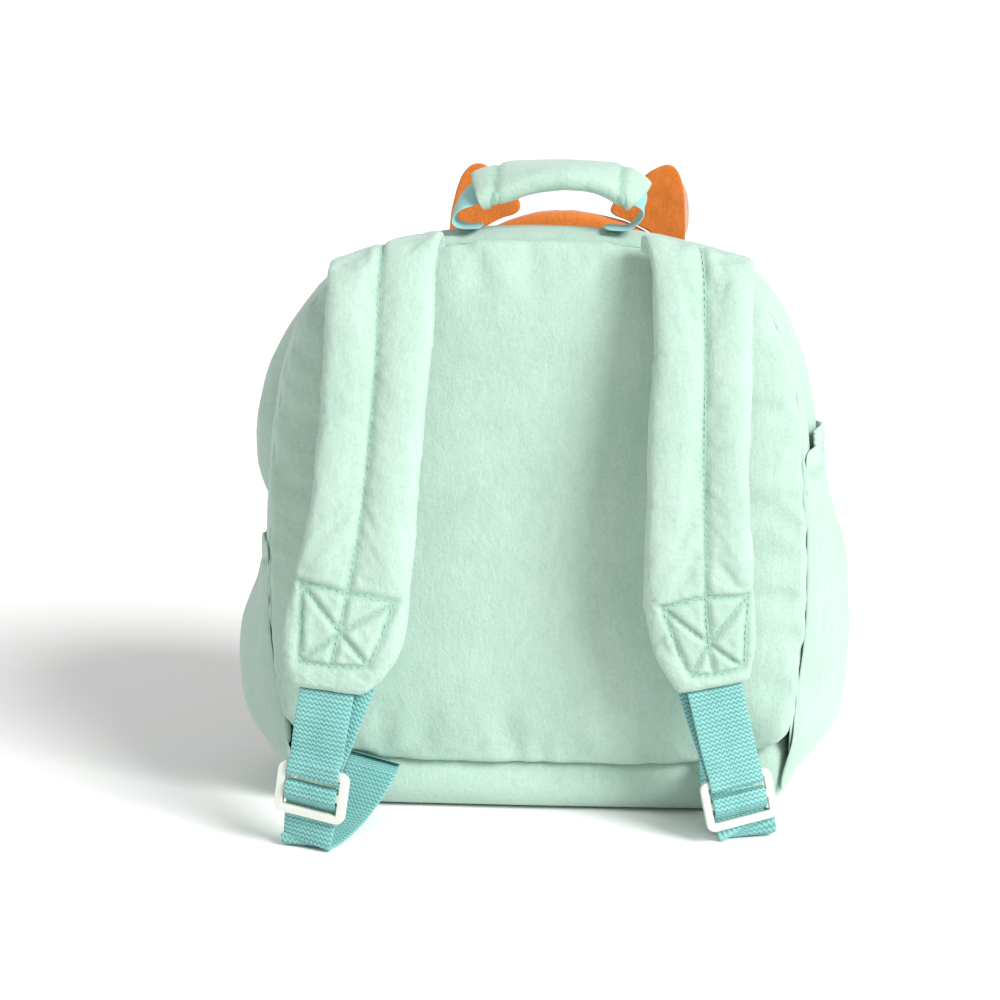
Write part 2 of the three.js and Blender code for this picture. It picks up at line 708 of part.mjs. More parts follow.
// Ways through the adjuster, as places down it and through it
const turnRoundTopBar = [-1, 1].flatMap((side) => {
  const half = [
    { down: -barPitch - 1.6 * barHalf, through: side * overBar },
    { down: -barPitch + barHalf, through: side * overBar },
    { down: -barPitch + cornerDown, through: side * cornerThrough },
    { down: -barPitch + besideBar, through: (side * glideThickness) / 2 },
  ];
  return side < 0 ? half : half.reverse();
});
const threadOverMiddleBar = [
  { down: 1.45 * barPitch, through: overLayer },
  { down: 0.9 * barPitch, through: overLayer },
  { down: 0.5 * barPitch, through: overLayer - 0.4 * webGap },
  { down: 0.8 * barHalf, through: overBar + 1.6 * webGap },
  { down: -0.8 * barHalf, through: overBar + 0.5 * webGap },
  { down: -cornerDown, through: cornerThrough },
  { down: -besideBar, through: glideThickness / 2 },
  { down: -besideBar, through: -glideThickness / 2 },
  { down: -cornerDown, through: -cornerThrough },
  { down: -0.8 * barHalf, through: -overBar },
  { down: 0.8 * barHalf, through: -overBar },
  { down: cornerDown, through: 0.1 * pastBar - overBar },
  { down: 0.5 * barPitch, through: 0 },
  { down: barPitch - cornerDown, through: overBar - 0.1 * pastBar },
  { down: barPitch - 0.4 * barHalf, through: overBar },
  { down: barPitch + 1.5 * barHalf, through: overBar },
];

// A place as a row of a strap's path, with the turn and roll of another row
function rowOf(place, like) {
  return {
    ...like,
    across: place.x / bodyHalfWidth,
    off: (backPlane - place.y) / strapStandoff,
    up: place.z / bodyHeight,
  };
}

function glidePlace(glide, step) {
  return glide.place.clone().addScaledVector(glide.ahead, step.down).addScaledVector(glide.face, step.through);
}

function framesInGlide(glide, steps) {
  const places = steps.map((step) => glidePlace(glide, step));
  return framesAlong(steps, places, () => glide.wide.clone());
}

// Moves a section of flat strap along Y until it lies on the padded back
function layOnBack(frame) {
  const reach = [-webWidth / 2, 0, webWidth / 2].map((across) => {
    const point = strapPoint(frame, across, webThickness / 2);
    return backPanel.face(point.x, point.z) - seamGap - point.y;
  });
  frame.place.y += Math.min(...reach);
}

const legSteps = 12;
const floorSteps = 28;

// Lifts a section of webbing until its lowest corner is clear of the floor
function liftOffFloor(frame) {
  const drop = (Math.abs(frame.wide.z) * webWidth + Math.abs(frame.face.z) * webThickness) / 2;
  frame.place.z = Math.max(frame.place.z, drop + floorClearance);
}

// sewnShift is how far to the side the upper strap's end is sewn under the pad.
function upperStrap(padRows, webRows, glide, sewnShift) {
  const padFrames = strapFrames(padRows, padSteps, false);
  const padEnd = padFrames.at(-1);
  const start = padEnd.place.clone().addScaledVector(padEnd.ahead, padEndGap);
  const turn = framesInGlide(glide, turnRoundTopBar);
  const frontRows = [rowOf(start, padEnd.row), ...webRows.slice(0, -1), rowOf(turn[0].place, webRows.at(-1))];
  const inFront = strapFrames(frontRows, legSteps);
  inFront[0].wide = padEnd.wide;
  inFront[0].face = padEnd.face;
  const sewn = padFrames.slice(-4).reverse().map((frame) => {
    const under = (padThickness * frame.row.thick) / 2 + 2 * seamGap + webThickness / 2;
    return rowOf(strapPoint(frame, sewnShift, under), frame.row);
  });
  const behind = strapFrames([rowOf(turn.at(-1).place, webRows.at(-1)), ...sewn], legSteps);
  return [...inFront.slice(0, -1), ...turn, ...behind.slice(1)];
}

function lowerStrap(webRows, floorRows, glide) {
  const thread = framesInGlide(glide, threadOverMiddleBar);
  const onFloor = strapFrames([rowOf(thread.at(-1).place, webRows.at(-1)), ...floorRows], floorSteps);
  for (const frame of onFloor.slice(-3)) layOnBack(frame);
  for (const frame of onFloor.slice(2)) liftOffFloor(frame);
  return [...thread, ...onFloor.slice(1)];
}

// An adjuster with three bars, drawn flat and stood in the strap's frame
function roundedRectangle(path, width, height, corner) {
  path.absarc(width / 2 - corner, height / 2 - corner, corner, 0, Math.PI / 2);
  path.absarc(corner - width / 2, height / 2 - corner, corner, Math.PI / 2, Math.PI);
  path.absarc(corner - width / 2, corner - height / 2, corner, Math.PI, 1.5 * Math.PI);
  path.absarc(width / 2 - corner, corner - height / 2, corner, 1.5 * Math.PI, 2 * Math.PI);
  path.closePath();
  return path;
}

function triGlide() {
  const outline = roundedRectangle(new THREE.Shape(), glideWidth, glideHeight, glideCorner);
  const slotHeight = (glideHeight - 3 * glideBar) / 2;
  for (const side of [-1, 1]) {
    const slot = new THREE.Path();
    const middle = (side * (glideBar + slotHeight)) / 2;
    slot.moveTo(-slotWidth / 2, middle - slotHeight / 2);
    slot.lineTo(-slotWidth / 2, middle + slotHeight / 2);
    slot.lineTo(slotWidth / 2, middle + slotHeight / 2);
    slot.lineTo(slotWidth / 2, middle - slotHeight / 2);
    slot.closePath();
    outline.holes.push(slot);
  }
  const body = new THREE.ExtrudeGeometry(outline, {
    depth: glideThickness,
    bevelEnabled: false,
    curveSegments: 4,
  });
  return body.translate(0, 0, -glideThickness / 2);
}

for (const [side, padRows, webRows, floorRows, sewnShift] of [
  ['left', leftPadRows, leftWebRows, leftFloorRows, 7],
  ['right', rightPadRows, rightWebRows, rightFloorRows, -4],
]) {
  const glide = strapFrames(webRows, webRows.length - 1).at(-1);
  const upper = upperStrap(padRows, webRows, glide, sewnShift);
  const lower = lowerStrap(webRows, floorRows, glide);
  addPiece('upper_webbing_' + side, flatStrap(upper, webWidth, webThickness), teal);
  addPiece('lower_webbing_' + side, flatStrap(lower, webWidth, webThickness), teal);
  const adjuster = addPiece('tri_glide_' + side, triGlide(), offWhite);
  const up = new THREE.Vector3().crossVectors(glide.face, glide.wide).normalize();
  adjuster.matrixAutoUpdate = false;
  adjuster.matrix.makeBasis(glide.wide, up, glide.face).setPosition(glide.place);
}

// Carry handle: webbing sewn flat to the top of the rear wall, arched, with a padded sleeve round its middle.
// across is a share of the handle's span, rise of its rise, and tip how far its width leans to the wearer.
const handleRows = [
  { across: -0.33, rise: 0, tip: 0 },
  { across: -0.44, rise: 0.01, tip: 0 },
  { across: -0.505, rise: 0.16, tip: 4 },
  { across: -0.475, rise: 0.45, tip: 14 },
  { across: -0.37, rise: 0.66, tip: 26 },
  { across: -0.2, rise: 0.84, tip: 22 },
  { across: 0.04, rise: 0.96, tip: 8 },
  { across: 0.28, rise: 0.97, tip: 8 },
  { across: 0.46, rise: 0.88, tip: 20 },
  { across: 0.585, rise: 0.66, tip: 26 },
  { across: 0.61, rise: 0.42, tip: 14 },
  { across: 0.56, rise: 0.15, tip: 4 },
  { across: 0.5, rise: 0.01, tip: 0 },
  { across: 0.37, rise: 0, tip: 0 },
];
const handleFromSeam = 1.5;
const handleY = -rearDepth + webWidth / 2 + handleFromSeam;
const handleSeat = seamGap + webThickness / 2;

// Height of the side wall's crest over the top of the bag
function topHeight(x) {
  const along = 0.5 + x / arch.getLength();
  return archPoint(along, wallOff(along, -rearDepth / 2), 0).z;
}

const handleSections = spread(2 * (handleRows.length - 1), (share) => rowAt(handleRows, share));
const handlePlaces = handleSections.map((row) => {
  const x = row.across * handleSpan;
  return new THREE.Vector3(x, handleY, topHeight(x) + handleSeat + row.rise * handleRise);
});
const handleFrames = framesAlong(handleSections, handlePlaces, (row) => {
  const tip = THREE.MathUtils.degToRad(row.tip);
  return new THREE.Vector3(0, -Math.cos(tip), -Math.sin(tip));
});

addPiece('handle_webbing', flatStrap(handleFrames, webWidth, webThickness), teal);

// The sleeve leaves this many sections of the webbing bare at each end, and is hollow where it runs through.
const bareSections = 8;

function handleSleeve() {
  const frames = handleFrames.slice(bareSections, -bareSections);
  const ringAround = (frame, width, thickness, power) =>
    ringOf(10, (turn) => {
      const angle = 2 * Math.PI * turn;
      const across = Math.sign(Math.cos(angle)) * Math.abs(Math.cos(angle)) ** power;
      const through = Math.sign(Math.sin(angle)) * Math.abs(Math.sin(angle)) ** power;
      return strapPoint(frame, (width / 2) * across, (thickness / 2) * through);
    });
  const outer = frames.map((frame) => ringAround(frame, sleeveWidth, sleeveThickness, 0.72));
  const boreWidth = webWidth + 2 * sleeveClearance;
  const boreThickness = webThickness + 2 * sleeveClearance;
  const inner = frames.map((frame) => ringAround(frame, boreWidth, boreThickness, 0.12));
  return loft([...outer, ...inner.reverse()], true);
}

addPiece('handle_sleeve', handleSleeve(), mint);

// Animal head, sewn to the front panel. Half widths and heights are shares of the head's.
const headRows = [
  { up: 0.03, half: 0.24 },
  { up: 0.09, half: 0.46 },
  { up: 0.18, half: 0.68 },
  { up: 0.3, half: 0.93 },
  { up: 0.42, half: 1 },
  { up: 0.56, half: 0.95 },
  { up: 0.7, half: 0.86 },
  { up: 0.83, half: 0.7 },
  { up: 0.93, half: 0.46 },
  { up: 0.985, half: 0.2 },
];
const headShift = 5.5;
const headCentre = new THREE.Vector2(headShift, headTop - headHeight * 0.52);

// An outline from the top round the right side to the foot and up the left side
function mirroredOutline(rows, halfWidth, height, centreX, foot, count) {
  const edge = (side, row) => new THREE.Vector3(centreX + side * row.half * halfWidth, 0, foot + row.up * height);
  const curve = new THREE.CatmullRomCurve3(
    [
      new THREE.Vector3(centreX, 0, foot + height),
      ...rows.toReversed().map((row) => edge(1, row)),
      new THREE.Vector3(centreX, 0, foot),
      ...rows.map((row) => edge(-1, row)),
    ],
    true,
  );
  return spread(count, (share) => curve.getPointAt(share % 1))
    .slice(0, count)
    .map((point) => new THREE.Vector2(point.x, point.z));
}

const onTop = (base) => (x, z) => base(x, z) + appliqueGap;

const headOutline = mirroredOutline(headRows, headWidth / 2, headHeight, headShift, headTop - headHeight, 28);
const head = swollenPad({
  outline: headOutline,
  centre: headCentre,
  side: 1,
  seat: onTop(frontPanel.face),
  backScales: curvedBack,
  edge: headThickness * 0.42,
  crown: headThickness * 0.58,
});
addPiece('head', head.geometry, orange);

// A round pad on a face, by its centre, width, height and how far it stands out
function roundPad(base, centre, width, height, reach, count, power = 1) {
  const outline = ringOf(count, (turn) => {
    const angle = Math.PI / 2 - 2 * Math.PI * turn;
    const up = Math.sin(angle);
    const taper = 1 - power * 0.25 * (1 - up) * 0.5;
    return new THREE.Vector2(centre.x + (width / 2) * Math.cos(angle) * taper, centre.y + (height / 2) * up);
  });
  return swollenPad({ outline, centre, side: 1, seat: onTop(base), edge: reach * 0.35, crown: reach * 0.65 });
}

const muzzleCentre = new THREE.Vector2(headShift, headTop - headHeight * 0.7);
const muzzle = roundPad(head.face, muzzleCentre, muzzleWidth, muzzleHeight, muzzleReach, 22);
addPiece('muzzle', muzzle.geometry, cream);

const noseCentre = new THREE.Vector2(headShift, muzzleCentre.y + muzzleHeight * 0.18);
const nose = roundPad(muzzle.face, noseCentre, noseWidth, noseHeight, noseReach, 12, 2);
addPiece('nose', nose.geometry, dark);

const eyeSpread = headWidth * 0.21;
const eyeUp = headTop - headHeight * 0.42;
for (const [name, side] of [['left', -1], ['right', 1]]) {
  const centre = new THREE.Vector2(headShift + side * eyeSpread, eyeUp);
  addPiece('eye_' + name, roundPad(head.face, centre, eyeWidth, eyeWidth, eyeReach, 10, 0).geometry, dark);
}

// Ears stand on the top edge of the head. out is a share of the ear's width from its inner foot, up of its height.
const earRows = [
  { out: 0.76, up: 1 },
  { out: 0.9, up: 0.93 },
  { out: 0.99, up: 0.68 },
  { out: 1.02, up: 0.36 },
  { out: 1, up: 0 },
  { out: 0.75, up: 0 },
  { out: 0.5, up: 0 },
  { out: 0.25, up: 0 },
  { out: 0, up: 0 },
  { out: 0.14, up: 0.36 },
  { out: 0.36, up: 0.68 },
  { out: 0.6, up: 0.93 },
];
const earFromSide = 18;
const earInset = headWidth / 2 - earWidth - earFromSide;
const earLean = { [-1]: -0.18, [1]: 0.04 };

// Height of the head's top edge at a distance from its middle
function headEdge(fromMiddle) {
  const half = fromMiddle / (headWidth / 2);
  const upper = headRows.slice(4).toReversed();
  return headTop - headHeight + rowWhere(upper, 'half', half).up * headHeight;
}

function earOutline(side, shrink) {
  const tip = headTop + earHeight * 0.5;
  const middle = { out: 0.62, up: 0.34 };
  return earRows.map((row) => {
    const out = THREE.MathUtils.lerp(middle.out, row.out, shrink);
    const up = THREE.MathUtils.lerp(middle.up, row.up, shrink);
    const fromMiddle = earInset + (out + earLean[side] * up) * earWidth;
    const foot = headEdge(fromMiddle) + 1.2 * appliqueGap;
    return new THREE.Vector2(headShift + side * fromMiddle, THREE.MathUtils.lerp(foot, tip, up));
  });
}

const earPlane = frontDepth + panelPadding + headThickness * 0.12;
const earSeat = (x, z) => Math.max(earPlane, onTop(frontPanel.face)(x, z));
for (const [name, side] of [['left', -1], ['right', 1]]) {
  const pieceOf = (shrink, seat, thickness) => {
    const outline = earOutline(side, shrink);
    const centre = outline.reduce((sum, point) => sum.add(point), new THREE.Vector2()).divideScalar(outline.length);
    return swollenPad({ outline, centre, side: 1, seat, edge: thickness * 0.5, crown: thickness * 0.5 });
  };
  const ear = pieceOf(1, earSeat, earThickness);
  addPiece('ear_' + name, ear.geometry, orange);
  addPiece('inner_ear_' + name, pieceOf(0.68, onTop(ear.face), innerEarThickness).geometry, cream);
}

export default bag;
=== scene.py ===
import json
import math

import bmesh
import bpy
import numpy as np
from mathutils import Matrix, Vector, noise
from mathutils.bvhtree import BVHTree

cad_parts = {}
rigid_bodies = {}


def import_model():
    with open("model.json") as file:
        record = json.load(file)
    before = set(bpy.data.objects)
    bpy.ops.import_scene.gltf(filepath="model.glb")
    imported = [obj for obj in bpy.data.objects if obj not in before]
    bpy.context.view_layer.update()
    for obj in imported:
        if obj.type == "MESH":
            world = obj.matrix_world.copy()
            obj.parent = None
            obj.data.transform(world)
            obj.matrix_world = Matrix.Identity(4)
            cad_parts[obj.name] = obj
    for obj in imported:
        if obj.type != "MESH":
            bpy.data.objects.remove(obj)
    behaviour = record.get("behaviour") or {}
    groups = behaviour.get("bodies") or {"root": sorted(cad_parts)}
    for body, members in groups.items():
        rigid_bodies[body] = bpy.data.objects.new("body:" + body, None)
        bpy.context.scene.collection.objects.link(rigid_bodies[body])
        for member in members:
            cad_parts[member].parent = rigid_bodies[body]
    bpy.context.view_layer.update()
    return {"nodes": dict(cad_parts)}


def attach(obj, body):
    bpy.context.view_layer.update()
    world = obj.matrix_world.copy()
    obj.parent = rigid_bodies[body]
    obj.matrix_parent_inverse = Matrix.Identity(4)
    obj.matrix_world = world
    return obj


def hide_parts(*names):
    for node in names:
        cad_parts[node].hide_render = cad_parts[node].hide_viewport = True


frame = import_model()
print("bag: solids loaded")

mm = 0.001


# Tools for meshes. Places are worked out in millimetres.

def linear(hexColour):
    def channel(value):
        value /= 255
        return value / 12.92 if value <= 0.04045 else ((value + 0.055) / 1.055) ** 2.4
    return tuple(channel(int(hexColour[i:i + 2], 16)) for i in (0, 2, 4)) + (1.0,)


def placesOf(mesh):
    flat = np.empty(len(mesh.vertices) * 3, dtype=np.float32)
    mesh.vertices.foreach_get("co", flat)
    return flat.reshape(-1, 3).astype(float) / mm


def normalsOf(mesh):
    flat = np.empty(len(mesh.vertices) * 3, dtype=np.float32)
    mesh.vertex_normals.foreach_get("vector", flat)
    return flat.reshape(-1, 3).astype(float)


def setPlaces(mesh, places):
    mesh.vertices.foreach_set("co", (np.asarray(places) * mm).astype(np.float32).ravel())
    mesh.update()


def setPaintedShade(mesh, values):  # how much shade is painted at each point, most down in seams, grooves and weave hollows; the materials darken their colour by it
    layer = mesh.attributes.get("crease") or mesh.attributes.new("crease", "FLOAT", "POINT")
    layer.data.foreach_set("value", np.clip(values, 0, 1).astype(np.float32))


def getPaintedShade(mesh):
    values = np.zeros(len(mesh.vertices), dtype=np.float32)
    layer = mesh.attributes.get("crease")
    if layer:
        layer.data.foreach_get("value", values)
    return values.astype(float)


def roughOf(places, size, seed):  # smooth noise of about -1 to 1, size in mm
    shift = Vector((seed * 17.3, seed * 5.1, seed * 9.7))
    return np.array([noise.noise(Vector(place) / size + shift) for place in places]) * 1.6


def smoothStep(low, high, values):
    share = np.clip((np.asarray(values, dtype=float) - low) / (high - low), 0, 1)
    return share * share * (3 - 2 * share)


def newPiece(name, points, faces):
    mesh = bpy.data.meshes.new(name)
    mesh.from_pydata([tuple(np.asarray(point) * mm) for point in points], [], faces)
    mesh.validate()
    piece = bpy.data.objects.new(name, mesh)
    bpy.context.collection.objects.link(piece)
    mesh.polygons.foreach_set("use_smooth", [True] * len(mesh.polygons))
    mesh.update()
    return piece


def applyModifiers(piece):
    depsgraph = bpy.context.evaluated_depsgraph_get()
    mesh = bpy.data.meshes.new_from_object(piece.evaluated_get(depsgraph))
    piece.modifiers.clear()
    piece.data = mesh
    mesh.polygons.foreach_set("use_smooth", [True] * len(mesh.polygons))
    mesh.update()
    return piece


def softCopy(node, name, levels=2):  # a rounded, finer copy of a solid
    mesh = frame["nodes"][node].data.copy()
    mesh.materials.clear()
    work = bmesh.new()
    work.from_mesh(mesh)
    bmesh.ops.remove_doubles(work, verts=work.verts, dist=2e-5)
    bmesh.ops.join_triangles(
        work, faces=work.faces, angle_face_threshold=math.radians(60), angle_shape_threshold=math.radians(80)
    )
    work.to_mesh(mesh)
    work.free()
    for layer in list(mesh.attributes):
        if layer.name == "custom_normal":
            mesh.attributes.remove(layer)
    piece = bpy.data.objects.new(name, mesh)
    bpy.context.collection.objects.link(piece)
    if levels:
        finer = piece.modifiers.new("finer", "SUBSURF")
        finer.levels = finer.render_levels = levels
    return applyModifiers(piece)


def remeshed(piece, size):  # even faces of one size in mm
    remesh = piece.modifiers.new("even", "REMESH")
    remesh.mode = "VOXEL"
    remesh.voxel_size = size * mm
    applyModifiers(piece)
    smooth = piece.modifiers.new("smooth", "SMOOTH")
    smooth.factor = 0.5
    smooth.iterations = 4
    return applyModifiers(piece)


def puffed(piece, pins, pressure=4.0, cap=5.0, spare=0.0, stiffness=8.0, frames=20):
    # Blows the cloth up a little against its pinned seams. spare is extra cloth, as a share of its size.
    mesh = piece.data
    start = placesOf(mesh)
    group = piece.vertex_groups.new(name="seams")
    for index, weight in enumerate(np.clip(pins, 0, 1)):
        group.add([index], float(weight), "REPLACE")
    cloth = piece.modifiers.new("puff", "CLOTH")
    settings = cloth.settings
    settings.quality = 5
    settings.mass = 0.15
    settings.tension_stiffness = stiffness
    settings.compression_stiffness = stiffness
    settings.shear_stiffness = stiffness * 0.5
    settings.bending_stiffness = 0.2
    settings.vertex_group_mass = "seams"
    settings.use_pressure = True
    settings.uniform_pressure_force = pressure
    settings.effector_weights.gravity = 0
    settings.shrink_min = -spare
    cloth.collision_settings.use_collision = False
    cloth.point_cache.frame_start = 1
    cloth.point_cache.frame_end = frames
    scene = bpy.context.scene
    for step in range(1, frames + 1):
        scene.frame_set(step)
    depsgraph = bpy.context.evaluated_depsgraph_get()
    evaluated = piece.evaluated_get(depsgraph).to_mesh()
    end = placesOf(evaluated)
    piece.evaluated_get(depsgraph).to_mesh_clear()
    piece.modifiers.clear()
    piece.vertex_groups.clear()
    scene.frame_set(1)
    move = end - start
    reach = np.linalg.norm(move, axis=1)
    move *= (cap * np.tanh(reach / cap) / np.maximum(reach, 1e-9))[:, None]
    setPlaces(mesh, start + move)
    return piece


def pushed(piece, offsets, crease=None):  # moves every point along its normal, in mm, and raises the painted shade at each point to the given amount
    mesh = piece.data
    setPlaces(mesh, placesOf(mesh) + normalsOf(mesh) * np.asarray(offsets)[:, None])
    if crease is not None:
        setPaintedShade(mesh, np.maximum(getPaintedShade(mesh), crease))
    return piece


def tubeFaces(lengths, around):  # the side faces of a tube built ring by ring
    return [(i * around + j, i * around + (j + 1) % around,
             (i + 1) * around + (j + 1) % around, (i + 1) * around + j)
            for i in range(lengths) for j in range(around)]


def distanceToPath(places, path):  # distance of each place to a line of points, and how far along it lies
    path = np.asarray(path, dtype=float)
    best = np.full(len(places), 1e9)
    along = np.zeros(len(places))
    run = 0.0
    for a, b in zip(path[:-1], path[1:]):
        span = b - a
        length = np.linalg.norm(span)
        share = np.clip((places - a) @ span / max(length ** 2, 1e-9), 0, 1)
        away = np.linalg.norm(places - (a + share[:, None] * span), axis=1)
        closer = away < best
        best = np.where(closer, away, best)
        along = np.where(closer, run + share * length, along)
        run += length
    return best, along


def dressed(piece, material, slot, *nodes):
    piece.data.materials.clear()
    piece.data.materials.append(material)
    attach(piece, "root")
    if nodes:
        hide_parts(*nodes)
    return piece


# Materials

# Adds a node, sets its properties and fills or links its inputs
def addNode(tree, kind, inputs=None, **settings):
    node = tree.nodes.new(kind)
    for key, value in settings.items():
        setattr(node, key, value)
    for key, value in (inputs or {}).items():
        if isinstance(value, bpy.types.NodeSocket):
            tree.links.new(value, node.inputs[key])
        else:
            node.inputs[key].default_value = value
    return node


def newMaterial(name):
    material = bpy.data.materials.new(name)
    material.use_nodes = True
    tree = material.node_tree
    tree.nodes.clear()
    return material, tree


def finishMaterial(material, tree, shader):
    output = tree.nodes.new("ShaderNodeOutputMaterial")
    tree.links.new(shader.outputs[0], output.inputs["Surface"])
    return material


# Short plush: polyester velboa, knitted and brushed. The eye gets a soft, dry, slightly mottled face whose
# pile lies in patches, paler at the edges; shade is painted into the colour down in each seam.
plushLook = {
    "pileSpacing": 1.5,   # mm; the real pile is about 0.3 mm apart, drawn coarser so that it shows
    "napLength": 7.0,     # mm, length of the brushed streaks
    "patchSize": 38.0,    # mm, patches where the pile lies another way
    "pileHeight": 0.55,   # mm
    "mottle": 0.5,
}


def plush(name, face, shadeTone, look):
    material, tree = newMaterial(name)
    where = addNode(tree, "ShaderNodeTexCoord").outputs["Object"]
    pile = addNode(tree, "ShaderNodeTexNoise", {"Vector": where, "Scale": 1 / (look["pileSpacing"] * mm),
                                                 "Detail": 3.0, "Roughness": 0.65})
    brushed = addNode(tree, "ShaderNodeMapping", {"Vector": where, "Scale": (1.0, 1.0, 0.3)})
    nap = addNode(tree, "ShaderNodeTexNoise", {
        "Vector": brushed.outputs[0], "Scale": 1 / (look["napLength"] * 0.4 * mm),
        "Detail": 4.0, "Roughness": 0.7, "Distortion": 0.6,
    })
    patch = addNode(tree, "ShaderNodeTexNoise", {"Vector": where, "Scale": 1 / (look["patchSize"] * mm),
                                                  "Detail": 2.0, "Roughness": 0.5})
    crease = addNode(tree, "ShaderNodeAttribute", attribute_name="crease").outputs["Fac"]

    def share(noiseNode, low, high, bottom, top):
        limits = {"From Min": low, "From Max": high, "To Min": bottom, "To Max": top}
        return addNode(tree, "ShaderNodeMapRange", {"Value": noiseNode.outputs[0], **limits}).outputs[0]

    mottle = look["mottle"]
    fine = share(pile, 0.3, 0.7, 0.0, 0.5 * mottle)
    streak = share(nap, 0.3, 0.7, 0.0, 0.45 * mottle)
    broad = share(patch, 0.3, 0.7, 0.0, 0.35 * mottle)
    grain = addNode(tree, "ShaderNodeMath", {0: fine, 1: streak}, operation="ADD").outputs[0]
    grain = addNode(tree, "ShaderNodeMath", {0: grain, 1: broad}, operation="ADD").outputs[0]
    # Painted shade: the per-point shade amount darkens the face colour towards the darker tone in seams and grooves,
    # added to the random mottle of pile, nap and patches.
    deep = addNode(tree, "ShaderNodeMath", {0: crease, 1: 0.85, 2: grain},
                   operation="MULTIPLY_ADD", use_clamp=True)
    colour = addNode(tree, "ShaderNodeMix", {0: deep.outputs[0], 6: linear(face), 7: linear(shadeTone)},
                     data_type="RGBA")
    height = addNode(tree, "ShaderNodeMath", {0: pile.outputs[0], 1: nap.outputs[0]}, operation="ADD")
    bump = addNode(tree, "ShaderNodeBump", {"Height": height.outputs[0], "Strength": 0.55,
                                            "Distance": look["pileHeight"] * mm})
    shader = addNode(tree, "ShaderNodeBsdfPrincipled", {
        "Base Color": colour.outputs[2], "Normal": bump.outputs[0], "Roughness": 0.92, "IOR": 1.45,
        "Specular IOR Level": 0.15, "Sheen Weight": 0.35, "Sheen Roughness": 0.5,
    })
    return finishMaterial(material, tree, shader)


# The second colour of each plush is the darker tone used both for the painted seam shade and for the random mottle.
mintPlush = plush("mint short-pile polyester plush", "b8cec2", "87ad9a", plushLook)
orangePlush = plush("orange short-pile polyester plush", "da7d33", "9e4c17", plushLook)
creamPlush = plush("cream short-pile polyester plush", "e6dccd", "c2b09a", plushLook)

# Polypropylene webbing, woven on a narrow loom in a herringbone: slightly shiny ribs, with shade painted into the
# colour in the hollows between them.
webbingLook = {"filament": 0.35, "face": "8ec6c3", "valleyShade": "34807a"}  # mm between filaments


def webbing(look):
    material, tree = newMaterial("teal woven polypropylene webbing")
    where = addNode(tree, "ShaderNodeTexCoord").outputs["Object"]
    crease = addNode(tree, "ShaderNodeAttribute", attribute_name="crease").outputs["Fac"]
    threads = addNode(tree, "ShaderNodeTexNoise", {"Vector": where, "Scale": 1 / (look["filament"] * 2 * mm),
                                                    "Detail": 2.0, "Roughness": 0.6})
    dye = addNode(tree, "ShaderNodeTexNoise", {"Vector": where, "Scale": 1 / (9 * mm), "Detail": 2.0})
    lift = addNode(tree, "ShaderNodeMapRange", {"Value": threads.outputs[0], "From Min": 0.3, "From Max": 0.7,
                                                 "To Min": -0.12, "To Max": 0.12})
    tone = addNode(tree, "ShaderNodeMapRange", {"Value": dye.outputs[0], "From Min": 0.3, "From Max": 0.7,
                                                 "To Min": -0.06, "To Max": 0.06})
    both = addNode(tree, "ShaderNodeMath", {0: lift.outputs[0], 1: tone.outputs[0]}, operation="ADD")
    # Painted shade: the per-point shade amount from the weave's hollows darkens the colour towards the dark tone,
    # together with random thread and dye tone.
    deep = addNode(tree, "ShaderNodeMath", {0: crease, 1: both.outputs[0]}, operation="ADD", use_clamp=True)
    colours = {6: linear(look["face"]), 7: linear(look["valleyShade"])}
    colour = addNode(tree, "ShaderNodeMix", {0: deep.outputs[0], **colours}, data_type="RGBA")
    relief = {"Height": threads.outputs[0], "Strength": 0.35, "Distance": 0.2 * mm}
    bump = addNode(tree, "ShaderNodeBump", relief)
    shader = addNode(tree, "ShaderNodeBsdfPrincipled", {
        "Base Color": colour.outputs[2], "Normal": bump.outputs[0], "Roughness": 0.5, "IOR": 1.49,
        "Specular IOR Level": 0.4, "Sheen Weight": 0.15, "Sheen Roughness": 0.4,
    })
    return finishMaterial(material, tree, shader)


tealWebbing = webbing(webbingLook)


# Plain moulded or spun finishes: a colour with a faint cloudiness, and a surface that is never quite even.
def plainFinish(name, colour, shade, roughness, ior, grainSize, grainHeight, sheen=0.0):
    material, tree = newMaterial(name)
    where = addNode(tree, "ShaderNodeTexCoord").outputs["Object"]
    cloud = addNode(tree, "ShaderNodeTexNoise", {"Vector": where, "Scale": 1 / (14 * mm), "Detail": 3.0})
    grain = addNode(tree, "ShaderNodeTexNoise", {"Vector": where, "Scale": 1 / (grainSize * mm), "Detail": 2.0})
    crease = addNode(tree, "ShaderNodeAttribute", attribute_name="crease").outputs["Fac"]
    faint = addNode(tree, "ShaderNodeMapRange", {"Value": cloud.outputs[0], "From Min": 0.35, "From Max": 0.65,
                                                  "To Min": 0.0, "To Max": 0.3})
    deep = addNode(tree, "ShaderNodeMath", {0: crease, 1: faint.outputs[0]}, operation="ADD", use_clamp=True)
    tint = addNode(tree, "ShaderNodeMix", {0: deep.outputs[0], 6: linear(colour), 7: linear(shade)},
                   data_type="RGBA")
    uneven = addNode(tree, "ShaderNodeMapRange", {"Value": grain.outputs[0], "From Min": 0.3, "From Max": 0.7,
                                                   "To Min": roughness - 0.06, "To Max": roughness + 0.06})
    relief = {"Height": grain.outputs[0], "Strength": 0.3, "Distance": grainHeight * mm}
    bump = addNode(tree, "ShaderNodeBump", relief)
    shader = addNode(tree, "ShaderNodeBsdfPrincipled", {
        "Base Color": tint.outputs[2], "Normal": bump.outputs[0], "Roughness": uneven.outputs[0], "IOR": ior,
        "Sheen Weight": sheen,
    })
    return finishMaterial(material, tree, shader)


# Acetal, injection moulded: milky off-white with a satin gloss.
acetal = plainFinish("off-white moulded acetal", "d9dcd2", "c4c9bc", 0.3, 1.48, 0.6, 0.03)
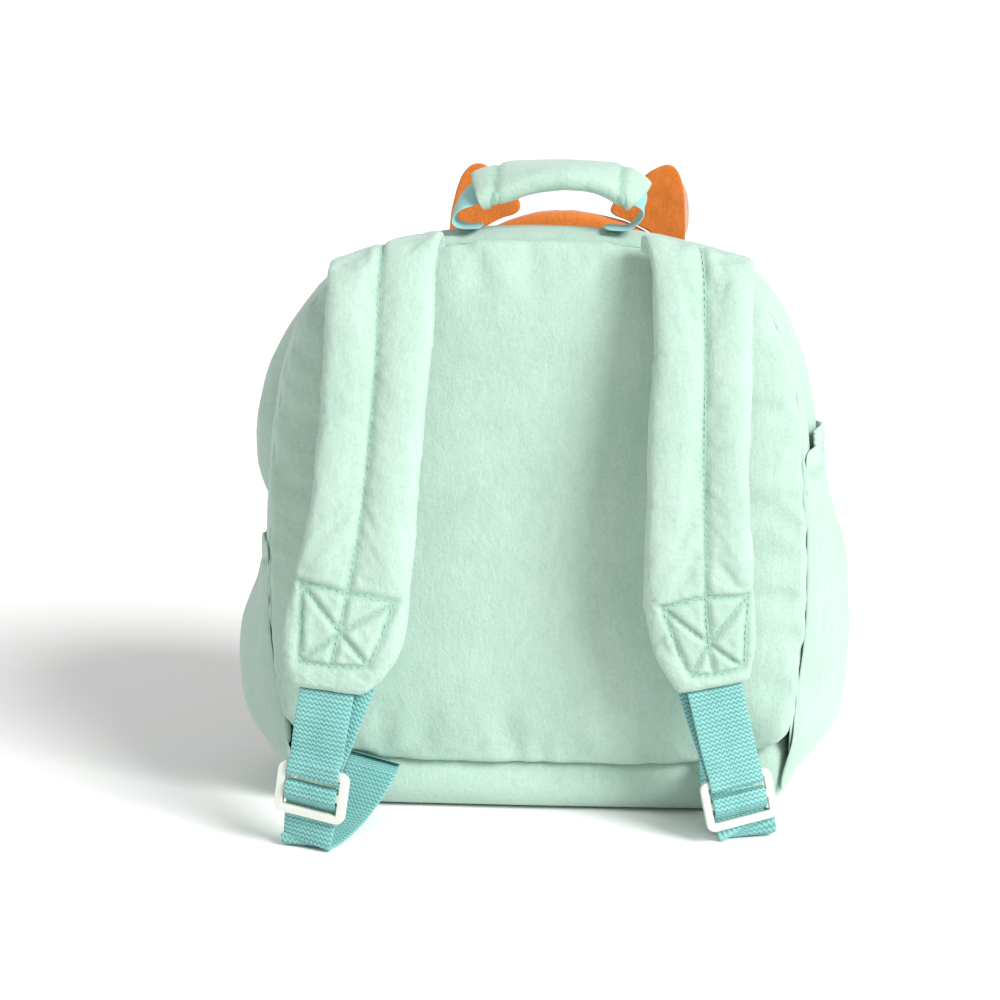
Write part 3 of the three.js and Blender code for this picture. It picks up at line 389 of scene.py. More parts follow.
# Nylon coil and die-cast slider, dyed and painted to go with the cloth
zipPlastic = plainFinish("pale green moulded zipper nylon", "e2eee4", "b9cfc0", 0.4, 1.53, 0.5, 0.03)
# Polyester tape, woven: flat and matte beside the coil
zipTape = plainFinish("mint woven polyester tape", "a9d8c3", "7fb59d", 0.8, 1.5, 0.5, 0.12, 0.2)
# Spun polyester thread, a little shinier than the pile round it
thread = plainFinish("mint spun polyester thread", "9fcbb4", "86b59d", 0.6, 1.5, 0.25, 0.08, 0.3)
darkThread = plainFinish("dark brown embroidery thread", "4a342b", "2a1b15", 0.55, 1.5, 0.3, 0.1, 0.2)
# Moulded safety eyes and nose: dark, glossy, rounded
glossPlastic = plainFinish("dark brown moulded eye plastic", "2c201b", "1b120f", 0.14, 1.5, 0.8, 0.01)
print("bag: materials made")


# Strap paths, in mm: the same sections as the solids have. Each row gives the place as shares of the body's
# half width, of the strap's standoff from the back and of the body's height, then width and thickness as
# shares of the strap's, then the turn about the upright and the roll about the line of sight in degrees.
body = {"height": 272.0, "halfWidth": 126.0, "standoff": 50.0, "backPlane": -62.35}
pad = {"width": 51.0, "thickness": 13.0, "steps": 16}
web = {"width": 25.0, "thickness": 1.5, "gap": 0.4, "padEndGap": 0.45, "seamGap": 0.35, "floorClearance": 0.5}
glide = {"height": 24.0, "bar": 3.8, "thickness": 3.0}

leftPadRows = [
    (-0.53, -0.02, 0.958, 1.06, 0.36, 0, 17), (-0.53, 0.05, 0.982, 1.04, 0.45, 0, 16),
    (-0.534, 0.2, 0.978, 1.02, 0.62, 0, 13), (-0.54, 0.33, 0.93, 1.0, 0.9, 0, 6),
    (-0.543, 0.5, 0.83, 1.0, 1, -2, 2), (-0.563, 0.64, 0.7, 1.0, 1, -3, 0),
    (-0.59, 0.78, 0.56, 1.02, 1, -4, -2), (-0.63, 0.9, 0.44, 1.05, 1, -5, -3),
    (-0.662, 0.98, 0.36, 1.06, 0.95, -6, -4), (-0.69, 1.02, 0.31, 0.9, 0.8, -6, -5),
    (-0.715, 1.04, 0.276, 0.66, 0.55, -6, -6),
]
rightPadRows = [
    (0.572, -0.02, 0.958, 1.02, 0.36, 0, -15), (0.575, 0.05, 0.982, 1.0, 0.45, 0, -14),
    (0.588, 0.21, 0.978, 0.95, 0.62, 0, -11), (0.6, 0.36, 0.93, 0.91, 0.9, 0, -6),
    (0.6, 0.54, 0.82, 0.9, 1, 2, -2), (0.596, 0.66, 0.7, 0.91, 1, 3, 0),
    (0.594, 0.71, 0.59, 0.93, 1, 4, 0), (0.596, 0.7, 0.49, 0.97, 1, 5, 2),
    (0.604, 0.64, 0.41, 0.97, 0.95, 6, 4), (0.625, 0.57, 0.335, 0.88, 0.85, 7, 7),
    (0.657, 0.52, 0.268, 0.64, 0.55, 8, 10),
]
leftWebRows = [
    (-0.738, 1.09, 0.215, 1, 1, -9, -5), (-0.755, 1.085, 0.165, 1, 1, -12, -3),
    (-0.775, 1.075, 0.102, 1, 1, -14, -1),
]
rightWebRows = [
    (0.69, 0.565, 0.205, 1, 1, 10, 9), (0.722, 0.575, 0.145, 1, 1, 13, 8), (0.752, 0.57, 0.075, 1, 1, 16, 7),
]
leftFloorRows = [
    (-0.8, 1.02, 0.009, 1, 1, -26, 0), (-0.793, 0.93, 0.0045, 1, 1, -26, 0),
    (-0.76, 0.75, 0.006, 1, 1, -26, 0),
    (-0.7, 0.4, 0.022, 1, 1, -24, 0), (-0.635, 0.12, 0.062, 1, 1, -14, 3), (-0.6, -0.04, 0.1, 1, 1, -4, 6),
]
rightFloorRows = [
    (0.79, 0.46, 0.009, 1, 1, 26, 0), (0.785, 0.38, 0.0045, 1, 1, 26, 0), (0.765, 0.27, 0.006, 1, 1, 26, 0),
    (0.735, 0.16, 0.022, 1, 1, 20, 0), (0.71, 0.04, 0.06, 1, 1, 10, -4), (0.7, -0.04, 0.108, 1, 1, 3, -8),
]


def rowAt(rows, share):
    rows = np.asarray(rows, dtype=float)
    place = min(max(share, 0.0), 1.0) * (len(rows) - 1)
    first = min(int(place), len(rows) - 2)
    a, b, c, d = (rows[min(max(first + step, 0), len(rows) - 1)] for step in (-1, 0, 1, 2))
    f = place - first
    slopeIn, slopeOut = (c - a) / 2, (d - b) / 2
    cubic = 2 * b - 2 * c + slopeIn + slopeOut
    square = -3 * b + 3 * c - 2 * slopeIn - slopeOut
    return ((cubic * f + square) * f + slopeIn) * f + b


def unit(vector):
    return vector / max(np.linalg.norm(vector), 1e-9)


def between(at, run, values):  # a row between those of a table, at a distance along its run
    return np.array([np.interp(at, run, values[:, axis]) for axis in range(3)])


def wideOf(row):
    turn, roll = math.radians(row[5]), math.radians(row[6])
    return np.array([math.cos(turn) * math.cos(roll), math.sin(turn), math.sin(roll)])


def placeOf(row):
    y = body["backPlane"] - row[1] * body["standoff"]
    return np.array([row[0] * body["halfWidth"], y, row[2] * body["height"]])


def framesAlong(places, wides, rows=None, square=True):
    frames = []
    for i, place in enumerate(places):
        ahead = unit(places[min(i + 1, len(places) - 1)] - places[max(i - 1, 0)])
        wide = np.array(wides[i])
        if square:
            wide = wide - ahead * wide.dot(ahead)
        wide = unit(wide)
        frames.append({"place": place, "ahead": ahead, "wide": wide, "face": unit(np.cross(wide, ahead)),
                       "row": None if rows is None else rows[i]})
    return frames


def strapFrames(rows, steps, square=True):
    sections = [rowAt(rows, i / steps) for i in range(steps + 1)]
    places = [placeOf(row) for row in sections]
    return framesAlong(places, [wideOf(row) for row in sections], sections, square)


def runOf(frames):  # distance along the strap at each frame
    steps = [np.linalg.norm(b["place"] - a["place"]) for a, b in zip(frames[:-1], frames[1:])]
    return np.concatenate([[0.0], np.cumsum(steps)])


# Shoulder pads: foam between two layers of plush, closed by a line down the middle and a crossed box at
# the foot. Stitch lines are in mm along and across the pad.
padLook = {"along": 190, "around": 72, "groove": 1.7, "grooveWidth": 2.0, "puff": 6.0, "cap": 2.6, "spare": 0.02}
padStitches = {
    "left": [
        [(8, -0.5), (90, 0), (168.8, -0.6), (203, -1.5)],
        [(165.3, -23), (168.8, -0.7), (170.6, 22)],
        [(170.6, 21), (200.4, 15.6)],
        [(166, -22.5), (201.5, -16.6)],
        [(201.8, -16.8), (202.4, -2), (200.6, 15.6)],
        [(166, -22.5), (186.6, -0.7), (200.4, 15.6)],
        [(171, 21), (186.6, -0.7), (201.5, -16.6)],
    ],
    "right": [
        [(8, 0), (86, 1.8), (150, 3), (168.9, 2.5), (208.2, 1)],
        [(172.4, -17), (168.9, 2.5), (170, 22.6)],
        [(170, 22.4), (207.6, 15.6)],
        [(172.4, -17), (206.9, -9.5)],
        [(206.9, -9.5), (208.4, 1), (207.6, 15.6)],
        [(172.4, -17), (191.6, 1.7), (207.6, 15.6)],
        [(170.8, 21.5), (191.6, 1.7), (206.9, -9.5)],
    ],
}


def shoulderPad(side, rows, look):
    along, around = look["along"], look["around"]
    frames = strapFrames(rows, along, False)
    run = runOf(frames)
    # The round section is walked in even steps, so that the faces come out square.
    turns = np.linspace(0, 2 * math.pi, 721)
    section = np.stack([np.sign(np.cos(turns)) * np.abs(np.cos(turns)) ** 0.6,
                        np.sign(np.sin(turns)) * np.abs(np.sin(turns)) ** 0.75], axis=1)
    scaled = section * [pad["width"] / 2, pad["thickness"] / 2]
    walked = np.concatenate([[0], np.cumsum(np.linalg.norm(np.diff(scaled, axis=0), axis=1))])
    stops = walked[-1] * np.arange(around) / around
    even = np.stack([np.interp(stops, walked, section[:, k]) for k in (0, 1)], axis=1)
    points, across, reach = [], [], []
    tuck = 3.2  # mm over which the foot rounds off
    for i, one in enumerate(frames):
        fromFoot = run[-1] - run[i]
        close = math.sqrt(max(1 - max(1 - fromFoot / tuck, 0) ** 2, 0.0)) if fromFoot < tuck else 1.0
        halfWide = pad["width"] * one["row"][3] / 2 - (1 - close) * 2.2
        halfThick = pad["thickness"] * one["row"][4] / 2 * (0.25 + 0.75 * close)
        for u, t in even:
            points.append(one["place"] + one["wide"] * u * halfWide + one["face"] * t * halfThick)
            across.append(u * halfWide)
            reach.append(run[i])
    faces = tubeFaces(along, around)
    half = around // 2
    for base, flip in ((0, True), (along * around, False)):
        for j in range(half - 1):
            corner = [base + j, base + j + 1, base + around - 2 - j, base + around - 1 - j]
            if len(set(corner)) == 4:
                faces.append(tuple(corner if flip else reversed(corner)))
    piece = newPiece("shoulder_pad_" + side + "_cover", points, faces)
    work = bmesh.new()
    work.from_mesh(piece.data)
    bmesh.ops.recalc_face_normals(work, faces=work.faces)
    work.to_mesh(piece.data)
    work.free()
    across, reach = np.array(across), np.array(reach)
    flat = np.stack([reach, across, np.zeros_like(reach)], axis=1)
    away = np.full(len(flat), 1e9)
    for line in padStitches[side]:
        away = np.minimum(away, distanceToPath(flat, [(s, u, 0) for s, u in line])[0])
    mesh = piece.data
    start = -look["groove"] * 0.75 * np.exp(-(away / look["grooveWidth"]) ** 2)
    pushed(piece, start)
    pins = np.maximum(np.exp(-(away / 1.6) ** 2), 1 - smoothStep(2, 10, reach))
    pins = np.maximum(pins, smoothStep(run[-1] - 3, run[-1], reach))
    puffed(piece, pins, pressure=look["puff"], cap=look["cap"], spare=look["spare"])
    deep = -look["groove"] * 0.45 * np.exp(-(away / 1.3) ** 2)
    places = placesOf(mesh)
    lumps = 0.35 * roughOf(places, 16, 3) + 0.16 * roughOf(places, 6, 4)
    fade = smoothStep(0.5, 4, away)
    puckers = 0.35 * np.sin(reach / 2.1 + 2 * roughOf(places, 12, 5)) * np.exp(-(away / 4.5) ** 2) * fade
    # The last argument paints shade into the colour along each stitch line, where the groove sinks.
    pushed(piece, deep + lumps * fade + puckers, np.exp(-(away / 1.2) ** 2) * 0.5)
    dressed(piece, mintPlush, "mint_plush", "shoulder_pad_" + side)
    return frames, run


stitchLook = {"length": 2.6, "pitch": 3.4, "thick": 0.55}


def stitchRun(name, lines, lift=0.1):
    # Short threads along lines of places, each sunk at both ends. A line is a list of (place, outward) pairs.
    points, faces = [], []
    sides = 6
    for line in lines:
        places = np.array([place for place, _ in line])
        outs = np.array([out for _, out in line])
        run = np.concatenate([[0], np.cumsum(np.linalg.norm(np.diff(places, axis=0), axis=1))])
        for k in range(int(run[-1] // stitchLook["pitch"])):
            begin = k * stitchLook["pitch"] + 0.4
            spine = []
            for share in (0.0, 0.15, 0.5, 0.85, 1.0):
                at = begin + share * stitchLook["length"]
                place = between(at, run, places)
                out = unit(between(at, run, outs))
                bow = math.sin(math.pi * share)
                spine.append((place + out * (lift + (bow - 0.55) * stitchLook["thick"]), out,
                              stitchLook["thick"] / 2 * (0.35 + 0.65 * bow)))
            ahead = unit(spine[-1][0] - spine[0][0])
            base = len(points)
            for place, out, radius in spine:
                side = unit(np.cross(ahead, out))
                for j in range(sides):
                    angle = 2 * math.pi * j / sides
                    points.append(place + radius * (math.cos(angle) * side + math.sin(angle) * out))
            for ring in range(len(spine) - 1):
                for j in range(sides):
                    a, b = base + ring * sides + j, base + ring * sides + (j + 1) % sides
                    faces.append((a, b, b + sides, a + sides))
            faces.append(tuple(base + j for j in reversed(range(sides))))
            faces.append(tuple(base + (len(spine) - 1) * sides + j for j in range(sides)))
    piece = newPiece(name, points, faces)
    return piece


def tuckedSeam(piece, away, out, over, reach=3.0):
    # Moves the rim within reach of a seam towards and past it, in mm, so that the cloth meets its neighbour.
    # away is each point's distance from the seam, out the way along which the seam's plane is crossed.
    places = placesOf(piece.data)
    share = 1 - smoothStep(0.0, reach, away)
    places += np.asarray(out, dtype=float) * (over * share)[:, None]
    setPlaces(piece.data, places)


def treeOf(piece):
    mesh = piece.data
    faces = [tuple(face.vertices) for face in mesh.polygons]
    return BVHTree.FromPolygons([vertex.co for vertex in mesh.vertices], faces)


def dropped(tree, place, way, reach=30.0):  # the first place on a surface along a way, in mm, or None
    hit = tree.ray_cast(Vector((np.asarray(place) - np.asarray(way) * reach) * mm), Vector(way))[0]
    return None if hit is None else np.array(hit) / mm


for side, rows in (("left", leftPadRows), ("right", rightPadRows)):
    padFrames, padRun = shoulderPad(side, rows, padLook)
    cover = bpy.data.objects["shoulder_pad_" + side + "_cover"]
    tree = treeOf(cover)
    lines = []
    for stitch in padStitches[side]:
        flat = np.array(stitch, dtype=float)
        walked = np.concatenate([[0], np.cumsum(np.linalg.norm(np.diff(flat, axis=0), axis=1))])
        line = []
        for at in np.arange(0, walked[-1], 1.2):
            one = padFrames[int(np.argmin(np.abs(padRun - np.interp(at, walked, flat[:, 0]))))]
            place = one["place"] + one["wide"] * np.interp(at, walked, flat[:, 1])
            onFace = dropped(tree, place, one["face"])
            if onFace is not None:
                line.append((onFace, -one["face"]))
        if len(line) > 2:
            lines.append(line)
    dressed(stitchRun("shoulder_pad_" + side + "_stitches", lines), thread, "mint_plush")
print("bag: shoulder pads sewn")


# Webbing: woven straps with a herringbone face, along the same ways as the solids
weaveLook = {"pitch": 2.1, "chevron": 2.3, "slant": 0.55, "height": 0.5, "along": 0.34, "across": 65}


def flatStrap(name, frames, look):
    width, thickness = web["width"], web["thickness"]
    run = runOf(frames)
    count = max(int(run[-1] / look["along"]), 4)
    across = look["across"]
    us = np.linspace(-width / 2, width / 2, across)
    keys = ("place", "wide", "face")
    stacks = {key: np.array([one[key] for one in frames]) for key in keys}
    points, shadeTone = [], []
    ring = 2 * across
    for i in range(count + 1):
        at = run[-1] * i / count
        place, wide, face = (between(at, run, stacks[key]) for key in keys)
        wide, face = unit(wide), unit(face)
        for sign in (-1, 1):
            row = us if sign < 0 else us[::-1]
            for u in row:
                edge = 1 - (abs(u) / (width / 2)) ** 10 * 0.55
                zig = abs((u / look["chevron"]) % 1 - 0.5) * 2
                phase = at / look["pitch"] + look["slant"] * zig + (0.5 if sign > 0 else 0)
                rib = 0.5 + 0.5 * math.cos(2 * math.pi * phase)
                gap = abs(zig - 0.5) * 2
                high = look["height"] * (rib ** 0.8 * (1 - 0.4 * gap ** 3) - 0.75)
                points.append(place + wide * u + face * sign * (thickness / 2 * edge + high * edge))
                # Painted shade: each point's shade amount is highest in the hollow between ribs and at the points of
                # the chevrons.
                shadeTone.append((1 - rib) * 0.75 + 0.25 * gap ** 4)
    faces = tubeFaces(count, ring)
    for base, flip in ((0, True), (count * ring, False)):
        for j in range(across - 1):
            corner = [base + j, base + j + 1, base + ring - 2 - j, base + ring - 1 - j]
            faces.append(tuple(corner if not flip else reversed(corner)))
    piece = newPiece(name, points, faces)
    setPaintedShade(piece.data, np.array(shadeTone))
    return piece


def rowOf(place, like):
    row = np.array(like, dtype=float)
    row[0] = place[0] / body["halfWidth"]
    row[1] = (body["backPlane"] - place[1]) / body["standoff"]
    row[2] = place[2] / body["height"]
    return row


barHalf = glide["bar"] / 2
barPitch = (glide["height"] - glide["bar"]) / 2
pastBar = web["gap"] + web["thickness"] / 2
overBar = glide["thickness"] / 2 + pastBar
corner = 0.78
halfTurn = [(-barPitch - 1.6 * barHalf, overBar), (-barPitch + barHalf, overBar),
            (-barPitch + barHalf + pastBar * corner, overBar - pastBar * 0.3),
            (-barPitch + barHalf + pastBar, glide["thickness"] / 2)]
turnRoundTopBar = [(down, -through) for down, through in halfTurn] + halfTurn[::-1]
tuckedBack = overBar + web["thickness"]
threadOverMiddleBar = [
    (1.45 * barPitch, tuckedBack + web["gap"]), (barPitch * 0.9, tuckedBack + web["gap"]),
    (barPitch * 0.5, tuckedBack + web["gap"] * 0.6), (barHalf * 0.8, overBar + web["gap"] * 1.6),
    (-barHalf * 0.8, overBar + web["gap"] * 0.5), (-barHalf - pastBar * corner, overBar - pastBar * 0.3),
    (-barHalf - pastBar, glide["thickness"] / 2), (-barHalf - pastBar, -glide["thickness"] / 2),
    (-barHalf - pastBar * corner, pastBar * 0.3 - overBar), (-barHalf * 0.8, -overBar), (barHalf * 0.8, -overBar),
    (barHalf + pastBar * corner, pastBar * 0.1 - overBar), (barPitch / 2, 0.0),
    (barPitch - barHalf - pastBar * corner, overBar - pastBar * 0.1), (barPitch - barHalf * 0.4, overBar),
    (barPitch + 1.5 * barHalf, overBar),
]


def framesInGlide(middle, steps):
    places = [middle["place"] + middle["ahead"] * down + middle["face"] * through for down, through in steps]
    return framesAlong(places, [middle["wide"]] * len(places))


def upperStrap(padRows, webRows, middle, sewnShift):
    padFrames = strapFrames(padRows, pad["steps"], False)
    padEnd = padFrames[-1]
    start = padEnd["place"] + padEnd["ahead"] * web["padEndGap"]
    turn = framesInGlide(middle, turnRoundTopBar)
    frontRows = [rowOf(start, padEnd["row"]), *webRows[:-1], rowOf(turn[0]["place"], webRows[-1])]
    inFront = strapFrames(frontRows, 12)
    inFront[0]["wide"], inFront[0]["face"] = padEnd["wide"], padEnd["face"]
    sewn = []
    for one in padFrames[-4:][::-1]:
        under = pad["thickness"] * one["row"][4] / 2 + 2 * web["seamGap"] + web["thickness"] / 2
        sewn.append(rowOf(one["place"] + one["wide"] * sewnShift + one["face"] * under, one["row"]))
    behind = strapFrames([rowOf(turn[-1]["place"], webRows[-1]), *sewn], 12)
    return inFront[:-1] + turn + behind[1:]


backTree = treeOf(frame["nodes"]["back_panel"])


def layOnBack(one):  # moves a section of strap towards the padded back until it lies there
    reach = []
    for across in (-web["width"] / 2, 0, web["width"] / 2):
        point = one["place"] + one["wide"] * across + one["face"] * web["thickness"] / 2
        onBack = dropped(backTree, point, (0, 1, 0), 60)
        if onBack is not None:
            reach.append(onBack[1] - web["seamGap"] - point[1])
    if reach:
        one["place"] = one["place"] + np.array([0, min(reach), 0])


def liftOffFloor(one):  # raises a section of strap until its lowest corner is clear of the floor
    drop = (abs(one["wide"][2]) * web["width"] + abs(one["face"][2]) * web["thickness"]) / 2
    one["place"] = np.array([*one["place"][:2], max(one["place"][2], drop + web["floorClearance"])])


def lowerStrap(webRows, floorRows, middle):
    threadFrames = framesInGlide(middle, threadOverMiddleBar)
    onFloor = strapFrames([rowOf(threadFrames[-1]["place"], webRows[-1]), *floorRows], 28)
    for one in onFloor[-3:]:
        layOnBack(one)
    for one in onFloor[2:]:
        liftOffFloor(one)
    return threadFrames + onFloor[1:]


for side, padRows, webRows, floorRows, sewnShift in (
    ("left", leftPadRows, leftWebRows, leftFloorRows, 7),
    ("right", rightPadRows, rightWebRows, rightFloorRows, -4),
):
    middle = strapFrames(webRows, len(webRows) - 1)[-1]
    upperFrames = upperStrap(padRows, webRows, middle, sewnShift)
    upper = flatStrap("upper_webbing_" + side + "_weave", upperFrames, weaveLook)
    dressed(upper, tealWebbing, "teal_webbing", "upper_webbing_" + side)
    lower = flatStrap("lower_webbing_" + side + "_weave", lowerStrap(webRows, floorRows, middle), weaveLook)
    dressed(lower, tealWebbing, "teal_webbing", "lower_webbing_" + side)
print("bag: webbing woven")


# Adjusters: moulded, so every edge is round
for side in ("left", "right"):
    node = "tri_glide_" + side
    piece = softCopy(node, node + "_moulding", 0)
    flat = bmesh.new()
    flat.from_mesh(piece.data)
    bmesh.ops.dissolve_limit(flat, angle_limit=math.radians(2), verts=flat.verts, edges=flat.edges)
    flat.to_mesh(piece.data)
    flat.free()
    bevel = piece.modifiers.new("round", "BEVEL")
    bevel.width = 1.0 * mm
    bevel.segments = 4
    bevel.limit_method = "ANGLE"
    bevel.angle_limit = math.radians(50)
    applyModifiers(piece)
    dressed(piece, acetal, "adjuster_plastic", node)
print("bag: adjusters moulded")


# Body panels: padded cloth, puffed against its seams
panelLook = {"voxel": 3.4, "pressure": 3.0, "cap": 3.0, "spare": 0.015}


def bodyPanel(node, name, side, seamY, look):
    piece = softCopy(node, name, 1)
    remeshed(piece, look["voxel"])
    places = placesOf(piece.data)
    fromSeam = side * (places[:, 1] - seamY)
    rim = 1 - smoothStep(1.0, 6.0, fromSeam)
    puffed(piece, rim, pressure=look["pressure"], cap=look["cap"], spare=look["spare"])
    finer = piece.modifiers.new("finer", "SUBSURF")
    finer.levels = finer.render_levels = 1
    applyModifiers(piece)
    places = placesOf(piece.data)
    fromSeam = side * (places[:, 1] - seamY)
    near = np.exp(-((fromSeam - 3.5) / 4.0) ** 2)
    around = np.arctan2(places[:, 2] - body["height"] / 2, places[:, 0])
    pucker = 0.45 * np.sin(around * 34 + 3 * roughOf(places, 30, 7)) * near
    lumps = 0.5 * roughOf(places, 42, 8) + 0.22 * roughOf(places, 14, 9) + 0.1 * roughOf(places, 5, 10)
    outer = smoothStep(0.5, 4, fromSeam)
    # The remesh draws the rim in, so it is let out again to meet the walls, most of all at the lower corners.
    atCorner = smoothStep(90, 112, np.abs(places[:, 0])) * (1 - smoothStep(40, 75, places[:, 2]))
    letOut = (1.5 + 4.0 * atCorner) * (1 - smoothStep(1.5, 6.0 + 6.0 * atCorner, fromSeam))
    # The last argument paints shade into the colour along the seam at the rim.
    pushed(piece, (pucker + lumps) * outer + letOut, (1 - smoothStep(0.0, 2.6, fromSeam)) * 0.45)
    tuckedSeam(piece, fromSeam, (0, -side, 0), 1.6, 3.5)
    dressed(piece, mintPlush, "mint_plush", node)
    return piece


bodyPanel("back_panel", "back_panel_cover", -1, -50.35, panelLook)
bodyPanel("front_panel", "front_panel_cover", 1, 48.35, panelLook)
print("bag: panels puffed")


# Side walls: cloth strips between the seams, gathered a little along both edges
gussetLook = {"pucker": 0.7, "waves": 60, "lumps": 0.5}


def sideWall(node, rearEdge, frontEdge, look):
    piece = softCopy(node, node + "_cover", 2)
    places = placesOf(piece.data)
    across = (places[:, 1] - rearEdge) / (frontEdge - rearEdge)
    edge = np.minimum(across, 1 - across) * abs(frontEdge - rearEdge)
    around = np.arctan2(places[:, 2] - body["height"] / 2, places[:, 0])
    near = np.exp(-((edge - 3) / 5.0) ** 2)
    pucker = look["pucker"] * np.sin(around * look["waves"] + 3 * roughOf(places, 26, 11)) * near
    lumps = look["lumps"] * (roughOf(places, 34, 12) + 0.5 * roughOf(places, 13, 13) + 0.2 * roughOf(places, 5, 14))
    # Shade is painted into the colour along both seamed edges.
    pushed(piece, (pucker + lumps) * smoothStep(0, 2, edge), (1 - smoothStep(0.2, 2.6, edge)) * 0.4)
    # Each foot reaches down into the base, out of sight behind the pocket.
    places = placesOf(piece.data)
    foot = 1 - smoothStep(42, 60, places[:, 2])
    places[:, 2] -= 14 * foot
    places[:, 0] += np.sign(places[:, 0]) * 2.5 * foot
    setPlaces(piece.data, places)
    panelEdge = rearEdge if abs(rearEdge) > abs(frontEdge) else frontEdge
    away = np.abs(placesOf(piece.data)[:, 1] - panelEdge)
    tuckedSeam(piece, away, (0, math.copysign(1, panelEdge), 0), 2.0)
    dressed(piece, mintPlush, "mint_plush", node)
    return piece


sideWall("rear_gusset", -50.0, -6.0, gussetLook)
sideWall("front_gusset", 6.0, 48.0, gussetLook)

base = softCopy("base_panel", "base_panel_cover", 2)
basePlaces = placesOf(base.data)
baseLumps = 0.5 * roughOf(basePlaces, 30, 15) + 0.25 * roughOf(basePlaces, 10, 16)
baseLumps += 0.1 * roughOf(basePlaces, 5, 17)
pushed(base, baseLumps * smoothStep(0.5, 6, basePlaces[:, 2]))
basePlaces = placesOf(base.data)
rim = 23 + 18 * np.minimum(np.abs(basePlaces[:, 0]) / 116.5, 1) ** 5
basePlaces[:, 2] += 2.2 * (1 - smoothStep(0, 4, rim - basePlaces[:, 2])) * smoothStep(14, 18, basePlaces[:, 2])
basePlaces[:, 2] = np.maximum(basePlaces[:, 2], 0.0)
setPlaces(base.data, basePlaces)
# Painted shade: the colour darkens at the base's upper rim, from 3 mm below the seam line upwards.
setPaintedShade(base.data, 0.4 * (1 - smoothStep(0, 3, rim - basePlaces[:, 2])))
dressed(base, mintPlush, "mint_plush", "base_panel")
print("bag: side walls and base made")


# Side pockets: a puffed sheet with an elastic hem
pocketLook = {"hem": 11.0, "gather": 0.9, "waves": 17, "lumps": 0.5, "sewnIn": 3.6, "seamReach": 8.5,
              "footIn": 5.0, "footUp": 5.0}


def sidePocket(side, top, look):
    node = "side_pocket_" + side
    piece = softCopy(node, node + "_cover", 2)
    places = placesOf(piece.data)
    fromTop = top - places[:, 2]
    gathers = np.sin(places[:, 1] / 80 * math.pi * look["waves"] + roughOf(places, 20, 18)) * look["gather"]
    gathers *= np.exp(-((fromTop - look["hem"]) / 14) ** 2)
    hem = -1.1 * np.exp(-((fromTop - look["hem"]) / 1.8) ** 2)
    lumps = look["lumps"] * (roughOf(places, 28, 19) + 0.5 * roughOf(places, 11, 20))
    outward = smoothStep(0.1, 0.6, normalsOf(piece.data)[:, 0] * (-1 if side == "left" else 1))
    # Shade is painted into the colour along the hem groove.
    pushed(piece, (gathers + hem + lumps) * outward, np.exp(-((fromTop - look["hem"]) / 1.6) ** 2) * 0.5)
    places = placesOf(piece.data)
    inward = 1 if side == "left" else -1
    sewn = smoothStep(30, 40, np.abs(places[:, 1]))
    places[:, 0] += inward * look["sewnIn"] * sewn
    places[:, 1] += np.sign(places[:, 1]) * look["seamReach"] * sewn
    foot = 1 - smoothStep(8, 42, places[:, 2])
    places[:, 0] += inward * look["footIn"] * foot
    places[:, 2] += look["footUp"] * foot
    setPlaces(piece.data, places)
    dressed(piece, mintPlush, "mint_plush", node)
    return piece


sidePocket("left", 128.0, pocketLook)
sidePocket("right", 174.0, pocketLook)
print("bag: pockets gathered")


# Carry handle
sleeve = softCopy("handle_sleeve", "handle_sleeve_cover", 2)
sleevePlaces = placesOf(sleeve.data)
low, high = sleevePlaces[:, 0].min(), sleevePlaces[:, 0].max()
sleeveLook = {"hem": 9.5, "groove": 1.3}
fromEnd = np.minimum(sleevePlaces[:, 0] - low - 3, high - 3 - sleevePlaces[:, 0])
hemLine = np.exp(-((fromEnd - sleeveLook["hem"]) / 1.5) ** 2)
sleeveLumps = 0.45 * roughOf(sleevePlaces, 22, 21) + 0.25 * roughOf(sleevePlaces, 8, 22)
# Shade is painted into the colour along the hem groove at each end.
pushed(sleeve, sleeveLumps - sleeveLook["groove"] * hemLine, hemLine * 0.7)
dressed(sleeve, mintPlush, "mint_plush", "handle_sleeve")

handleStrap = softCopy("handle_webbing", "handle_webbing_weave", 2)
dressed(handleStrap, tealWebbing, "teal_webbing", "handle_webbing")
print("bag: handle made")


# Animal head
headLook = {"lumps": 0.5, "seam": 1.4, "middle": 5.5}
head = softCopy("head", "head_cover", 2)
headPlaces = placesOf(head.data)
middleSeam = np.exp(-((headPlaces[:, 0] - headLook["middle"]) / 1.4) ** 2) * smoothStep(60, 64, headPlaces[:, 1])
headLumps = headLook["lumps"] * (roughOf(headPlaces, 30, 23) + 0.5 * roughOf(headPlaces, 11, 24))
# Shade is painted into the colour along the middle seam.
pushed(head, headLumps - headLook["seam"] * middleSeam, middleSeam * 0.7)
dressed(head, orangePlush, "orange_plush", "head")
for node, material, slot, fill in (
    ("ear_left", orangePlush, "orange_plush", 0.5), ("ear_right", orangePlush, "orange_plush", 0.5),
    ("inner_ear_left", creamPlush, "cream_plush", 0.3), ("inner_ear_right", creamPlush, "cream_plush", 0.3),
    ("muzzle", creamPlush, "cream_plush", 0.6),
):
    piece = softCopy(node, node + "_cover", 2)
    places = placesOf(piece.data)
    pushed(piece, 0.35 * roughOf(places, 14, 25) + 0.2 * roughOf(places, 6, 26))
    dressed(piece, material, slot, node)
# The right ear's lining shows past its edge.
lining = bpy.data.objects["inner_ear_right_cover"]
liningPlaces = placesOf(lining.data)
middleX = liningPlaces[:, 0].mean()
liningPlaces[:, 0] += 6.5 * smoothStep(0, 8, liningPlaces[:, 0] - middleX)
liningPlaces[:, 1] -= 3.0 * smoothStep(4, 10, liningPlaces[:, 0] - middleX)
setPlaces(lining.data, liningPlaces)

